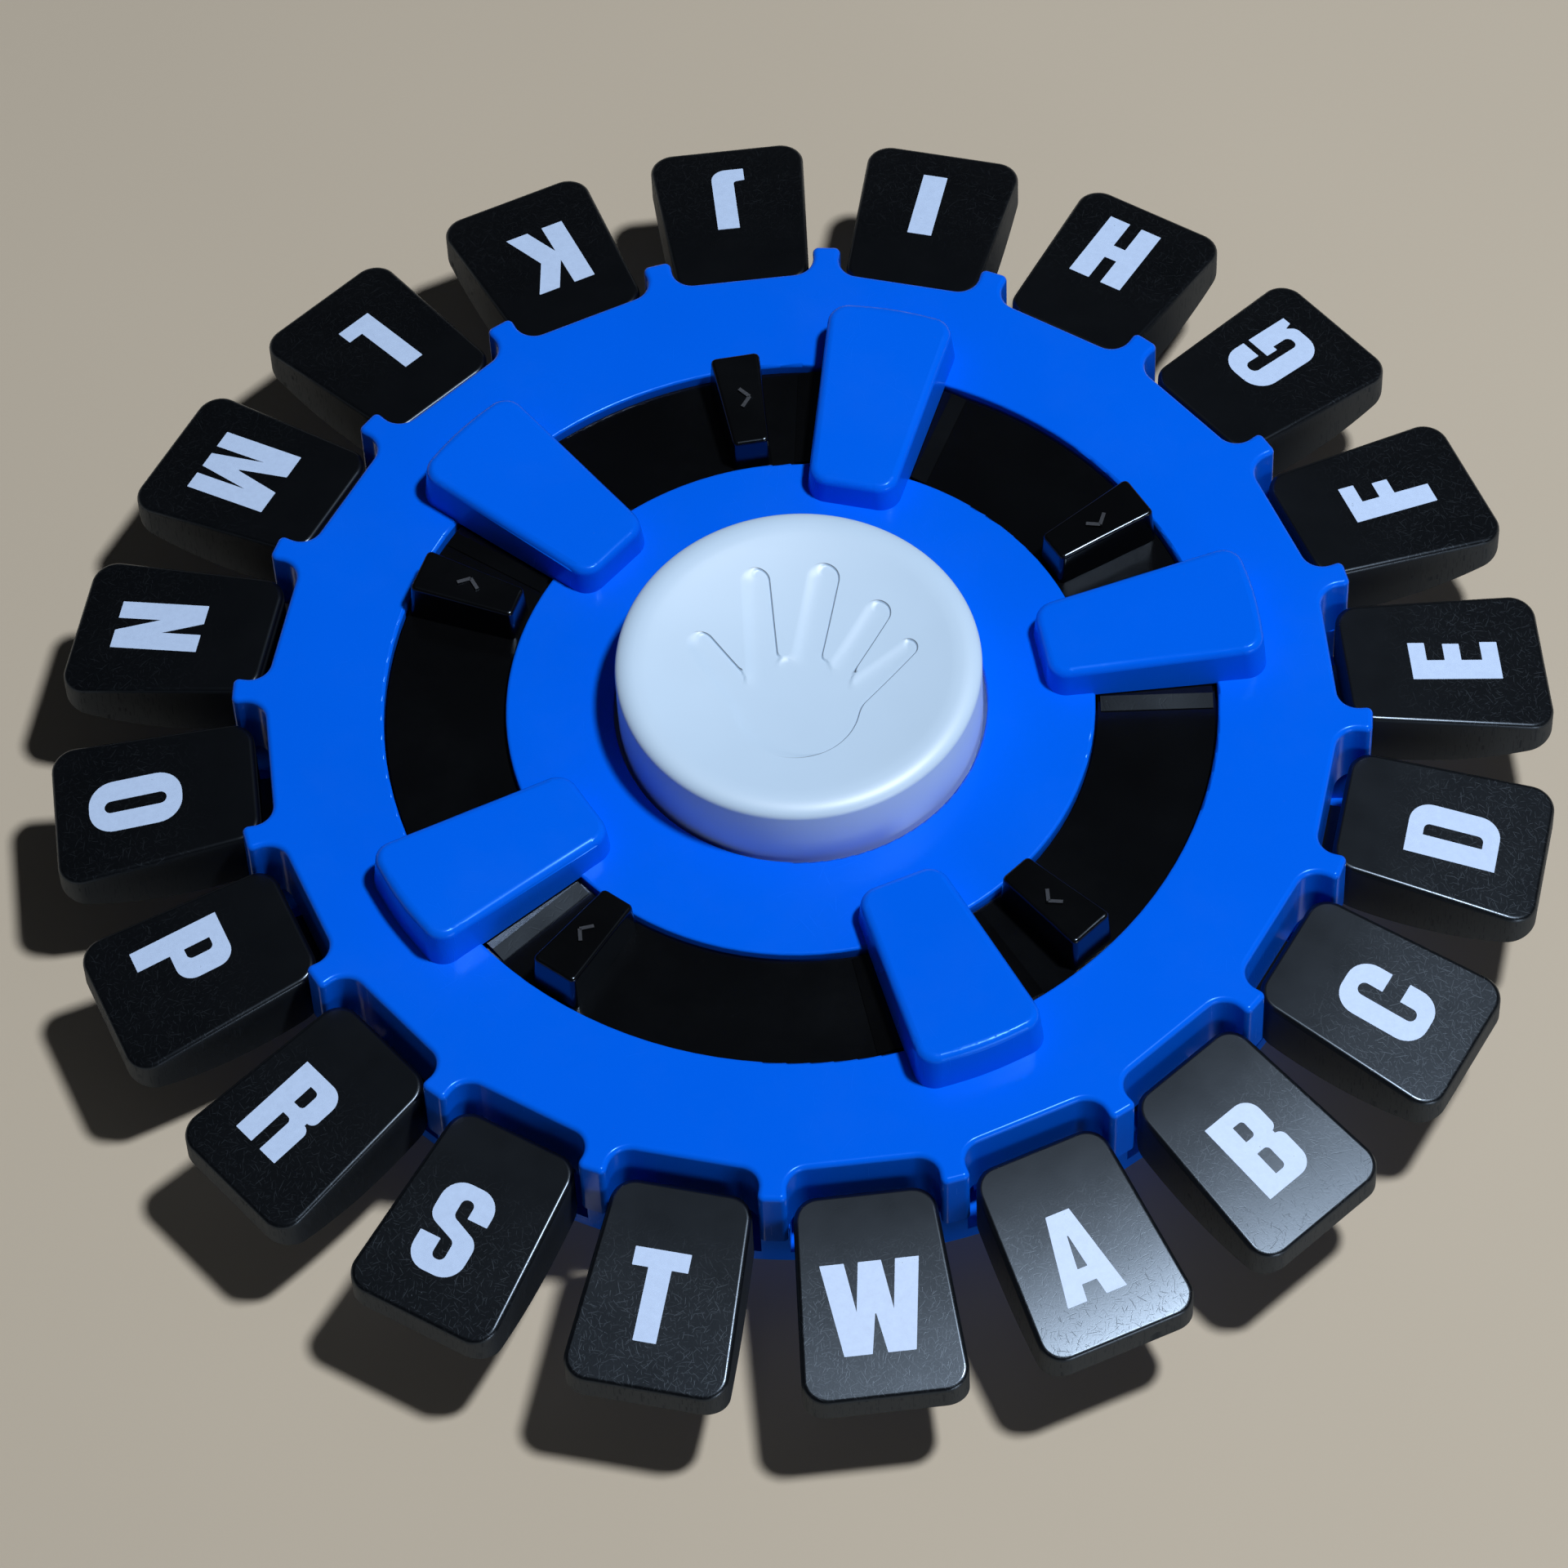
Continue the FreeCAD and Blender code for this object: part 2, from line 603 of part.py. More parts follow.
def chevron():
    """A raised arrow head on a tab's top, pointing clockwise."""
    centre = (SLOT_INNER_R + SLOT_OUTER_R) / 2
    arm = CHEVRON_SIZE / 2
    high = tab_top(centre) + CHEVRON_SIZE
    bars = []
    for side in (-1, 1):
        bar = block(-CHEVRON_LINE / 2, arm, -CHEVRON_LINE / 2, CHEVRON_LINE / 2, COVER_TOP, high)
        bar.rotate(CENTRE, UP, 90 + side * CHEVRON_HALF_ANGLE)
        bars.append(moved(bar, centre, -arm / 2))
    both = bars[0].fuse(bars[1])
    return under_slope(both, lambda x: tab_top(x) + CHEVRON_RISE, SLOT_INNER_R, SLOT_OUTER_R)


def arrow_tab():
    """One finger tab with its arrow head."""
    body = drafted(tab_outline(0), tab_outline(TAB_DRAFT), RING_TOP, tab_top)
    return joined(rounded_top(body, tab_top, TAB_EDGE), [chevron()])


def cam():
    """One wedge under the ring's skirt, which pushes a raised key tail down."""
    root = CAM_LOW + CAM_HEIGHT
    points = [(-CAM_ROOT_WIDTH / 2, root), (-CAM_TIP_WIDTH / 2, CAM_LOW),
              (CAM_TIP_WIDTH / 2, CAM_LOW), (CAM_ROOT_WIDTH / 2, root)]
    corners = [Vector(CAM_INNER_R + SEAT_GAP, y, z) for y, z in points]
    face = Part.Face(Part.makePolygon(corners + corners[:1]))
    return face.extrude(Vector(CAM_THICK - 2 * SEAT_GAP, 0, 0))


def land():
    """A low plate under one bridge, with a slope at each end."""
    inner = SLOT_INNER_R + LAND_MARGIN
    outer = SLOT_OUTER_R - LAND_MARGIN
    high = RING_TOP + LAND_RISE
    parts = [sector(inner, outer, RING_TOP, high, -LAND_HALF_ANGLE, 2 * LAND_HALF_ANGLE)]
    for side in (-1, 1):
        foot = side * LAND_RAMP
        points = [(0, RING_TOP), (foot, RING_TOP), (foot, RING_TOP + LAND_STEP), (0, high)]
        corners = [Vector(inner, y, z) for y, z in points]
        ramp = Part.Face(Part.makePolygon(corners + corners[:1])).extrude(Vector(outer - inner, 0, 0))
        parts.append(turned(ramp, side * LAND_HALF_ANGLE))
    return parts


def reset_ring():
    """Black ring with tabs, lands under the bridges, cams over the key tails and a stop lug."""
    flange = ring(RING_BORE_R, CAM_OUTER_R, FLANGE_LOW, FLANGE_TOP)
    parts = [ring(SLOT_INNER_R + SLOT_GAP, SLOT_OUTER_R - SLOT_GAP, FLANGE_LOW, RING_TOP),
             ring(CAM_INNER_R, CAM_OUTER_R, CAM_LOW + CAM_HEIGHT, FLANGE_TOP)]
    for angle in BRIDGE_ANGLES:
        parts += [turned(piece, angle) for piece in land()]
        parts.append(turned(arrow_tab(), angle + TAB_LEAD))
    for angle in key_angles():
        parts.append(turned(cam(), angle + PITCH / 2))
    lug_r = SLOT_INNER_R + MOVE_GAP
    parts.append(sector(lug_r, lug_r + STOP_SIZE, FLANGE_LOW - STOP_DEPTH, FLANGE_LOW,
                        -STOP_HALF_ANGLE, 2 * STOP_HALF_ANGLE))
    return joined(flange, parts)


# ---- centre button and what is under it ----
def hand_hollow():
    """A shallow open hand, sunk into the dish: a round palm, a thumb and four fingers."""
    floor = BUTTON_TOP - BUTTON_DISH - HAND_DEPTH
    palm_x, palm_y, palm_r = [share * HAND_LENGTH for share in HAND_PALM]
    parts = []
    for finger in HAND_FINGERS:
        base_x, base_y, tip_x, tip_y, radius = [share * HAND_LENGTH for share in finger]
        length = math.hypot(tip_x - base_x, tip_y - base_y)
        bar = block(0, length, -radius, radius, floor, BUTTON_TOP)
        bar = bar.fuse(disc(radius, floor, BUTTON_TOP, length, 0))
        bar.rotate(CENTRE, UP, math.degrees(math.atan2(tip_y - base_y, tip_x - base_x)))
        parts.append(moved(bar, base_x, base_y))
    return disc(palm_r, floor, BUTTON_TOP, palm_x, palm_y).fuse(parts)


def centre_button():
    """White dished cap with a retaining flange and a plunger."""
    body = disc(BUTTON_R, BUTTON_FLANGE_LOW, BUTTON_TOP)
    rise = BUTTON_R - BUTTON_RIM
    bowl_r = (rise ** 2 + BUTTON_DISH ** 2) / (2 * BUTTON_DISH)
    bowl = Part.makeSphere(bowl_r, Vector(0, 0, BUTTON_TOP - BUTTON_DISH + bowl_r))
    body = body.cut(bowl)
    body = rounded_top(body, lambda x: BUTTON_TOP, BUTTON_RIM_EDGE)
    hollow = disc(BUTTON_R - BUTTON_WALL, BUTTON_FLANGE_LOW, BUTTON_UNDER)
    body = body.cut(hollow).cut(hand_hollow())
    parts = [ring(BUTTON_R - BUTTON_WALL, FLANGE_R, BUTTON_FLANGE_LOW, BUTTON_FLANGE_TOP),
             disc(PLUNGER_R, PLUNGER_LOW, BUTTON_UNDER),
             ring(SPRING_R + 2 * SPRING_WIRE_R, SPRING_R + 2 * SPRING_WIRE_R + SPRING_COLLAR,
                  BUTTON_UNDER - SPRING_COLLAR_HEIGHT, BUTTON_UNDER)]
    return joined(body, parts)


def button_spring():
    """Coil spring between the deck and the button."""
    low = DECK_TOP + SPRING_WIRE_R + SPRING_GAP
    high = BUTTON_UNDER - SPRING_WIRE_R - MOVE_GAP
    path = Part.makeHelix((high - low) / SPRING_COILS, high - low, SPRING_R)
    section = Part.Wire(Part.makeCircle(SPRING_WIRE_R, Vector(SPRING_R, 0, 0), Vector(0, 1, 0)))
    coil = Part.Wire(path).makePipeShell([section], True, True)
    return moved(coil, 0, 0, low)


def switch_board():
    """Small board on the deck that carries the button's switch."""
    return disc(SWITCH_BOARD_R, DECK_TOP, SWITCH_BASE)


def tact_switch():
    """The switch that the button's plunger presses."""
    half = SWITCH_SIZE / 2
    body = block(-half, half, -half, half, SWITCH_BASE, SWITCH_BASE + SWITCH_THICK)
    return joined(body, [disc(SWITCH_STEM_R, SWITCH_BASE + SWITCH_THICK, SWITCH_TIP)])


# ---- base shell ----
def pan():
    """Floor, leaning outer wall and the band under the nubs, as one turned section."""
    outline = [(0, FLOOR_LOW), (FLOOR_R, FLOOR_LOW), (PAN_R, BAND_LOW), (BAND_R, BAND_LOW),
               (BAND_R, BAND_TOP), (PAN_R - PAN_WALL, BAND_TOP), (FLOOR_R - PAN_WALL, FLOOR_TOP),
               (0, FLOOR_TOP)]
    corners = [Vector(x, 0, z) for x, z in outline]
    body = Part.Face(Part.makePolygon(corners + corners[:1])).revolve(CENTRE, UP, 360)
    return rounded_top(body, lambda x: FLOOR_LOW, PAN_EDGE)


def nub_post():
    """Upright under one nub that carries the cover's edge."""
    slab = block(PAN_R - PAN_WALL, BAND_R, -POST_WIDTH / 2, POST_WIDTH / 2, BAND_LOW, SEAM)
    return slab.common(disc(BAND_R, BAND_LOW, SEAM))


def saddles():
    """Two uprights with open half-round seats for a key's trunnions, inside the leaning wall."""
    seats = []
    lean = (PAN_R - FLOOR_R) / (BAND_LOW - FLOOR_LOW)
    rise = SEAM - FLOOR_LOW
    inside = Part.makeCone(FLOOR_R, FLOOR_R + lean * rise, rise, Vector(0, 0, FLOOR_LOW), UP)
    inside = inside.common(disc(PAN_R, FLOOR_LOW + PAN_EDGE, SEAM))
    half = SADDLE_LENGTH / 2
    top = PIVOT_Z + TRUNNION_R / 2
    seat_r = TRUNNION_R + RUN_GAP
    throat = block(PIVOT_R - seat_r, PIVOT_R + seat_r, -KEY_INNER_WIDTH, KEY_INNER_WIDTH, PIVOT_Z, SEAM)
    seat = across(seat_r, KEY_INNER_WIDTH).fuse(throat)
    for side in (-1, 1):
        near = side * (ARM_WIDTH / 2 + SADDLE_GAP)
        far = side * TRUNNION_HALF
        upright = block(PIVOT_R - half, PIVOT_R + half, min(near, far), max(near, far), FLOOR_LOW, top)
        seats.append(upright.common(inside).cut(seat))
    return seats


def hub():
    """Tube that the ring turns on, with the ledge that carries it and the ring's stops."""
    low = LEDGE_TOP - LEDGE_DEPTH
    parts = [ring(HUB_R - HUB_WALL, HUB_R, FLOOR_LOW, COVER_UNDER),
             ring(HUB_R - HUB_WALL, HUB_R + LEDGE_WIDTH, low, LEDGE_TOP)]
    clear = STOP_HALF_ANGLE + math.degrees(MOVE_GAP / SLOT_INNER_R)
    block_r = SLOT_INNER_R + MOVE_GAP + STOP_SIZE
    for start in (-clear - STOP_BLOCK_ANGLE, RING_TRAVEL + clear):
        parts.append(sector(HUB_R, block_r, low, LEDGE_TOP, start, STOP_BLOCK_ANGLE))
    return parts


def button_well():
    """Guide tube, deck and stop ring for the button, and walls of the battery chamber."""
    stop_top = BUTTON_FLANGE_LOW - BUTTON_TRAVEL - MOVE_GAP
    collar = SPRING_R + 2 * SPRING_WIRE_R
    frame = block(-CHAMBER_X - CHAMBER_WALL, CHAMBER_X + CHAMBER_WALL, -CHAMBER_Y - CHAMBER_WALL,
                  CHAMBER_Y + CHAMBER_WALL, FLOOR_LOW, DECK_LOW)
    frame = frame.cut(block(-CHAMBER_X, CHAMBER_X, -CHAMBER_Y, CHAMBER_Y, FLOOR_LOW, DECK_LOW))
    return [ring(GUIDE_R, GUIDE_R + GUIDE_WALL, FLOOR_LOW, FLANGE_TOP - MOVE_GAP),
            disc(GUIDE_R + GUIDE_WALL, DECK_LOW, DECK_TOP),
            ring(GUIDE_R - STOP_RING_WIDTH, GUIDE_R + GUIDE_WALL, DECK_LOW, stop_top),
            ring(collar, collar + SPRING_COLLAR, DECK_LOW, DECK_TOP + SPRING_COLLAR_HEIGHT),
            frame]


def screw_bosses():
    """Bosses under the cover's own, with a wide foot around each screw head."""
    parts = []
    for x, y in boss_places():
        parts.append(disc(BOSS_R, FLOOR_LOW, SEAM, x, y))
        parts.append(disc(BOSS_FOOT_R, FLOOR_LOW, BOSS_FOOT_TOP, x, y))
    return parts


def board_places():
    """Centres of the main board's four standoffs, with the board along +X."""
    dx = BOARD_DEPTH / 2 - STANDOFF_R - SEAT_GAP
    dy = BOARD_WIDTH / 2 - STANDOFF_R - SEAT_GAP
    return [(BOARD_R + i * dx, j * dy) for i in (-1, 1) for j in (-1, 1)]


def small_mounts():
    """Standoffs, speaker cup and slider rails on the floor."""
    parts = [turned(disc(STANDOFF_R, FLOOR_LOW, BOARD_LOW, x, y), BOARD_ANGLE) for x, y in board_places()]
    cup = ring(SPEAKER_R + SEAT_GAP, SPEAKER_R + SEAT_GAP + SPEAKER_CUP, FLOOR_LOW,
               FLOOR_TOP + SPEAKER_CUP_HEIGHT, SPEAKER_CIRCLE_R, 0)
    parts.append(turned(cup, SPEAKER_ANGLE))
    for side in (-1, 1):
        near = SLIDER_WIDTH / 2 + SEAT_GAP
        far = SWITCH_BODY_WIDTH / 2
        x0, x1 = sorted((SLIDER_CIRCLE_R + side * near, SLIDER_CIRCLE_R + side * far))
        rail = block(x0, x1, -SWITCH_BODY_LENGTH / 2, SWITCH_BODY_LENGTH / 2, FLOOR_LOW, SWITCH_BODY_LOW)
        parts.append(turned(rail, SLIDER_ANGLE))
    return parts


def grille_holes():
    """Rings of holes under the speaker."""
    holes = [(SPEAKER_CIRCLE_R, 0.0)]
    for level in range(1, GRILLE_RINGS + 1):
        count = GRILLE_SIDES * level
        for i in range(count):
            x, y = polar(level * GRILLE_PITCH, i * 360.0 / count)
            holes.append((SPEAKER_CIRCLE_R + x, y))
    return [turned(disc(GRILLE_HOLE_R, FLOOR_LOW, FLOOR_TOP, x, y), SPEAKER_ANGLE) for x, y in holes]


def door_outline(inset):
    """Corners of the battery door, taken in by inset."""
    x = CHAMBER_X + DOOR_LIP - inset
    y = CHAMBER_Y + DOOR_LIP - inset
    tail = y + DOOR_SCREW_TAIL
    return [(-x, -y, DOOR_CORNER), (x, -y, DOOR_CORNER), (x, tail, DOOR_CORNER), (-x, tail, DOOR_CORNER)]


def door_screw_place():
    """Centre of the door's screw."""
    return 0.0, CHAMBER_Y + DOOR_LIP + DOOR_SCREW_TAIL / 2


def floor_openings():
    """Everything that is cut through or into the floor."""
    cuts = [prism(door_outline(0), FLOOR_LOW, FLOOR_LOW + DOOR_THICK),
            block(-CHAMBER_X, CHAMBER_X, -CHAMBER_Y, CHAMBER_Y, FLOOR_LOW, FLOOR_TOP)]
    slot_half = (KNOB_LENGTH + SLIDER_TRAVEL) / 2 + SEAT_GAP
    across_half = KNOB_WIDTH / 2 + SEAT_GAP
    knob_slot = block(SLIDER_CIRCLE_R - across_half, SLIDER_CIRCLE_R + across_half,
                      -slot_half, slot_half, FLOOR_LOW, FLOOR_TOP)
    cuts.append(turned(knob_slot, SLIDER_ANGLE))
    for angle in SCREW_ANGLES:
        x, y = polar(FOOT_CIRCLE_R, angle)
        cuts.append(disc(FOOT_R + SEAT_GAP, FLOOR_LOW, FLOOR_LOW + FOOT_SINK, x, y))
    for x, y in boss_places():
        cuts.append(disc(SCREW_HEAD_R + SEAT_GAP, FLOOR_LOW, screw_seat(), x, y))
        cuts.append(disc(SCREW_R + SCREW_CLEAR, FLOOR_LOW, SEAM, x, y))
    x, y = door_screw_place()
    cuts.append(disc(SCREW_R + SCREW_CLEAR, FLOOR_LOW, FLOOR_LOW + DOOR_THICK + DOOR_SCREW_LENGTH, x, y))
    return cuts + grille_holes()


def screw_seat():
    """Height of the shoulder that a case screw's head pulls on."""
    return FLOOR_LOW + FLOOR_THICK


def base_shell():
    """Blue lower shell with every seat and boss moulded in."""
    parts = hub() + button_well() + screw_bosses() + small_mounts()
    for angle in key_angles():
        parts += [turned(seat, angle) for seat in saddles()]
        parts.append(turned(nub_post(), angle + PITCH / 2))
    x, y = door_screw_place()
    parts.append(disc(BOSS_R, FLOOR_LOW, DECK_LOW, x, y))
    return joined(pan(), parts).cut(floor_openings()).removeSplitter()


# ---- fasteners, feet and inner pieces ----
def screw(x, y, seat, tip):
    """A pan-head screw whose head sits under a shoulder."""
    head = disc(SCREW_HEAD_R, seat - SCREW_HEAD_THICK, seat, x, y)
    half = SCREW_SLOT_WIDTH / 2
    low = seat - SCREW_HEAD_THICK
    drive = block(x - SCREW_R, x + SCREW_R, y - half, y + half, low, low + SCREW_SLOT_DEPTH)
    drive = drive.fuse(block(x - half, x + half, y - SCREW_R, y + SCREW_R, low, low + SCREW_SLOT_DEPTH))
    return joined(head, [disc(SCREW_R, seat, tip, x, y)]).cut(drive)


def case_screws():
    """Eight screws that pull the cover onto the base."""
    return [screw(x, y, screw_seat(), SEAM + SCREW_BITE) for x, y in boss_places()]


def rubber_feet():
    """Five round feet in shallow seats."""
    feet = []
    for angle in SCREW_ANGLES:
        x, y = polar(FOOT_CIRCLE_R, angle)
        foot = disc(FOOT_R, 0, FLOOR_LOW + FOOT_SINK, x, y)
        feet.append(rounded_top(foot, lambda x: 0, FOOT_SINK / 2))
    return feet


def battery_door():
    """Hatch under the cells."""
    x, y = door_screw_place()
    plate = prism(door_outline(SEAT_GAP), FLOOR_LOW, FLOOR_LOW + DOOR_THICK)
    return plate.cut([disc(SCREW_R + SCREW_CLEAR, FLOOR_LOW, FLOOR_TOP, x, y),
                      disc(SCREW_HEAD_R + SEAT_GAP, FLOOR_LOW, FLOOR_LOW + DOOR_THICK / 2, x, y)])


def door_screw():
    """The hatch's screw."""
    x, y = door_screw_place()
    seat = FLOOR_LOW + DOOR_THICK / 2
    return screw(x, y, seat, seat + DOOR_SCREW_LENGTH)


def cell_centres():
    """X of each cell."""
    return [(i - (CELL_COUNT - 1) / 2) * CELL_STEP for i in range(CELL_COUNT)]


def along(radius, length, x, y, way=1):
    """A cylinder on a cell's axis, which runs along Y."""
    return Part.makeCylinder(radius, length, Vector(x, y, CELL_AXIS_Z), Vector(0, way, 0))


def battery_cells():
    """Cells side by side, every other one turned round."""
    cells = []
    for i, x in enumerate(cell_centres()):
        body = along(CELL_R, CELL_LENGTH - CELL_CAP, x, -CELL_LENGTH / 2)
        cell = joined(body, [along(CELL_CAP_R, CELL_CAP, x, CELL_LENGTH / 2 - CELL_CAP)])
        if i % 2:
            cell.rotate(Vector(x, 0, CELL_AXIS_Z), UP, 180)
        cells.append(cell)
    return cells


def battery_contacts():
    """A plate at each end of each cell, with a coil at the flat end and a stud at the other."""
    pieces = []
    half = CONTACT_SIZE / 2
    reach = CONTACT_ROOM - CONTACT_THICK - SEAT_GAP / 2
    for i, x in enumerate(cell_centres()):
        for side in (-1, 1):
            inner = side * (CHAMBER_Y - CONTACT_THICK)
            y0, y1 = sorted((side * CHAMBER_Y, inner))
            plate = block(x - half, x + half, y0, y1, CELL_AXIS_Z - half, CELL_AXIS_Z + half)
            flat_end = (side == 1) == bool(i % 2)
            radius = CONTACT_COIL_R if flat_end else CONTACT_STUD_R
            pieces.append(joined(plate, [along(radius, reach, x, inner, -side)]))
    return pieces


def circuit_board():
    """Main board on its standoffs."""
    board = block(BOARD_R - BOARD_DEPTH / 2, BOARD_R + BOARD_DEPTH / 2, -BOARD_WIDTH / 2, BOARD_WIDTH / 2,
                  BOARD_LOW, BOARD_LOW + BOARD_THICK)
    return turned(board, BOARD_ANGLE)


def domed(radius, rise, low, x):
    """A shallow dome."""
    ball_r = (radius ** 2 + rise ** 2) / (2 * rise)
    ball = Part.makeSphere(ball_r, Vector(x, 0, low + rise - ball_r))
    return ball.common(disc(radius, low, low + rise, x, 0))


def board_parts():
    """What is soldered on the main board: a sealed chip, two capacitors and two sockets."""
    top = BOARD_LOW + BOARD_THICK
    inner = BOARD_R - BOARD_DEPTH / 2 + SEAT_GAP
    half = SOCKET_WIDTH / 2
    pieces = [domed(CHIP_R, CHIP_RISE, top, BOARD_R)]
    for side in (-1, 1):
        y = side * BOARD_PART_SIDE
        pieces.append(disc(CAPACITOR_R, top, top + CAPACITOR_HEIGHT, BOARD_R + CAPACITOR_R, y))
        pieces.append(block(inner, inner + SOCKET_DEPTH, y - half, y + half, top, top + SOCKET_HEIGHT))
    return [turned(piece, BOARD_ANGLE) for piece in pieces]


def speaker():
    """Loudspeaker in its cup: a rim, a basket, a magnet and a hollow for the cone."""
    rim_top = FLOOR_TOP + SPEAKER_RIM
    magnet_low = FLOOR_TOP + SPEAKER_THICK - SPEAKER_MAGNET
    x = SPEAKER_CIRCLE_R
    rim = disc(SPEAKER_R, FLOOR_TOP, rim_top, x, 0)
    basket = Part.makeCone(SPEAKER_R, SPEAKER_MAGNET_R, magnet_low - rim_top, Vector(x, 0, rim_top), UP)
    magnet = disc(SPEAKER_MAGNET_R, magnet_low, FLOOR_TOP + SPEAKER_THICK, x, 0)
    bowl = domed(SPEAKER_R - SPEAKER_RIM, SPEAKER_CONE_DEPTH, FLOOR_TOP, x)
    return turned(joined(rim, [basket, magnet]).cut(bowl), SPEAKER_ANGLE)


def power_switch():
    """Slide switch over the slider, on its two rails."""
    body = block(SLIDER_CIRCLE_R - SWITCH_BODY_WIDTH / 2, SLIDER_CIRCLE_R + SWITCH_BODY_WIDTH / 2,
                 -SWITCH_BODY_LENGTH / 2, SWITCH_BODY_LENGTH / 2,
                 SWITCH_BODY_LOW, SWITCH_BODY_LOW + SWITCH_BODY_THICK)
    return turned(body, SLIDER_ANGLE)


def power_slider():
    """Knob of the power switch, at the off end of its slot."""
    start = -SLIDER_TRAVEL / 2
    plate = block(SLIDER_CIRCLE_R - SLIDER_WIDTH / 2, SLIDER_CIRCLE_R + SLIDER_WIDTH / 2,
                  start - SLIDER_LENGTH / 2, start + SLIDER_LENGTH / 2, SLIDER_LOW, SLIDER_LOW + SLIDER_THICK)
    knob = block(SLIDER_CIRCLE_R - KNOB_WIDTH / 2, SLIDER_CIRCLE_R + KNOB_WIDTH / 2,
                 start - KNOB_LENGTH / 2, start + KNOB_LENGTH / 2, FLOOR_LOW - KNOB_PROUD, SLIDER_LOW)
    return turned(joined(plate, [knob]), SLIDER_ANGLE)


# ---- export ----
def save(name, shape):
    """Write one node, a solid or a list of separate solids."""
    solid = Part.makeCompound(shape) if isinstance(shape, list) else shape
    solid.exportStep(os.path.join("parts", name + ".step"))


def main():
    """Build every piece and write it under its node's name."""
    os.makedirs("parts", exist_ok=True)
    key = letter_key()
    for letter, angle in zip(LETTERS, key_angles()):
        save("key_" + letter.lower(), turned(key, angle))
    pieces = (top_cover, base_shell, reset_ring, centre_button, button_spring, switch_board, tact_switch,
              circuit_board, board_parts, speaker, battery_cells, battery_contacts, battery_door,
              door_screw, case_screws, rubber_feet, power_switch, power_slider)
    for piece in pieces:
        save(piece.__name__, piece())


main()
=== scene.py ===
"""Looks, stage and camera for the rotating word game board, laid out as an add-on.

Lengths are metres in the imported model's frame: the origin is the centre of the resting plane
and +Z is up. Angles run anticlockwise from +X, seen from above.
"""

import math

import bpy
from bpy.props import FloatProperty, FloatVectorProperty, PointerProperty
from mathutils import Matrix, Vector
from mathutils.geometry import delaunay_2d_cdt


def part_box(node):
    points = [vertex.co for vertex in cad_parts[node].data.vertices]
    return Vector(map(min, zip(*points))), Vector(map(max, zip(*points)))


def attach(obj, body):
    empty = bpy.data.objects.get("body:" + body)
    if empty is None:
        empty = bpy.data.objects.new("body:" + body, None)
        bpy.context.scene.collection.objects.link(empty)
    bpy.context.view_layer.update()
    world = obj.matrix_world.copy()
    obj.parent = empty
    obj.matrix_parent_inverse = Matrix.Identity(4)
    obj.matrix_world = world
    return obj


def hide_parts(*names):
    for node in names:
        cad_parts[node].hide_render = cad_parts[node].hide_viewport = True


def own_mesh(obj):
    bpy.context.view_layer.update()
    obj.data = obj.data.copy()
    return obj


bl_info = {
    "name": "Word Game Board",
    "version": (1, 0, 0),
    "blender": (4, 5, 0),
    "location": "View3D > Sidebar > Game Board",
    "description": "Dresses a round letter-key game board and sets a stage around it",
    "category": "Object",
}

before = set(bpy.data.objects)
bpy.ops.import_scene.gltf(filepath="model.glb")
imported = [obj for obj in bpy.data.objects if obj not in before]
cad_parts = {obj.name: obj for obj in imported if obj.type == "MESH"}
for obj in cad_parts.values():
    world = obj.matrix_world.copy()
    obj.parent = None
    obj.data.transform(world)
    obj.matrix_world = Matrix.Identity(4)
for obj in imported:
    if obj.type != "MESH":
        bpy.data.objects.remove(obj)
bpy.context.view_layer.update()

MM = 0.001
LETTERS = "ABCDEFGHIJKLMNOPRSTW"
PITCH = 2 * math.pi / len(LETTERS)
FIRST_KEY_ANGLE = math.radians(-63)
ARC_STEPS = 8
CORNER_R = 0.1


def key_angle(letter):
    """Angle of a key around the board."""
    return FIRST_KEY_ANGLE + LETTERS.index(letter) * PITCH


# ---- settings ----
def colour(name, description, red, green, blue):
    """A colour setting."""
    return FloatVectorProperty(name=name, description=description, default=(red, green, blue),
                               subtype="COLOR", min=0, max=1)


def length(name, description, default):
    """A length setting, in metres."""
    return FloatProperty(name=name, description=description, default=default, unit="LENGTH")


def angle(name, description, degrees):
    """An angle setting."""
    return FloatProperty(name=name, description=description, default=math.radians(degrees), subtype="ANGLE")


def factor(name, description, default):
    """A setting between 0 and 1."""
    return FloatProperty(name=name, description=description, default=default, min=0, max=1, subtype="FACTOR")


class BoardColours(bpy.types.PropertyGroup):
    """Colours of the board's plastics."""

    shell: colour("Shell", "Blue of the cover and the base", 0.0, 0.118, 0.87)
    keys: colour("Keys", "Black of the letter keys", 0.0012, 0.0014, 0.0020)
    ring: colour("Ring", "Black of the reset ring", 0.0012, 0.0013, 0.0016)
    # The button's cool blue cast is painted light: the tint of a cool lamp on a white button, painted into
    # its colour.
    button: colour("Button", "Cool white of the timer button", 0.50, 0.69, 0.93)
    legend: colour("Letters", "Print on the keys", 0.49, 0.66, 0.98)
    # The arrows' grey is a painted highlight: it stands in for the lamp's glint on the raised chevrons.
    mark: colour("Arrows", "Painted highlight grey of the tabs' arrows", 0.030, 0.036, 0.048)
    rubber: colour("Feet", "Rubber of the feet", 0.018, 0.018, 0.019)


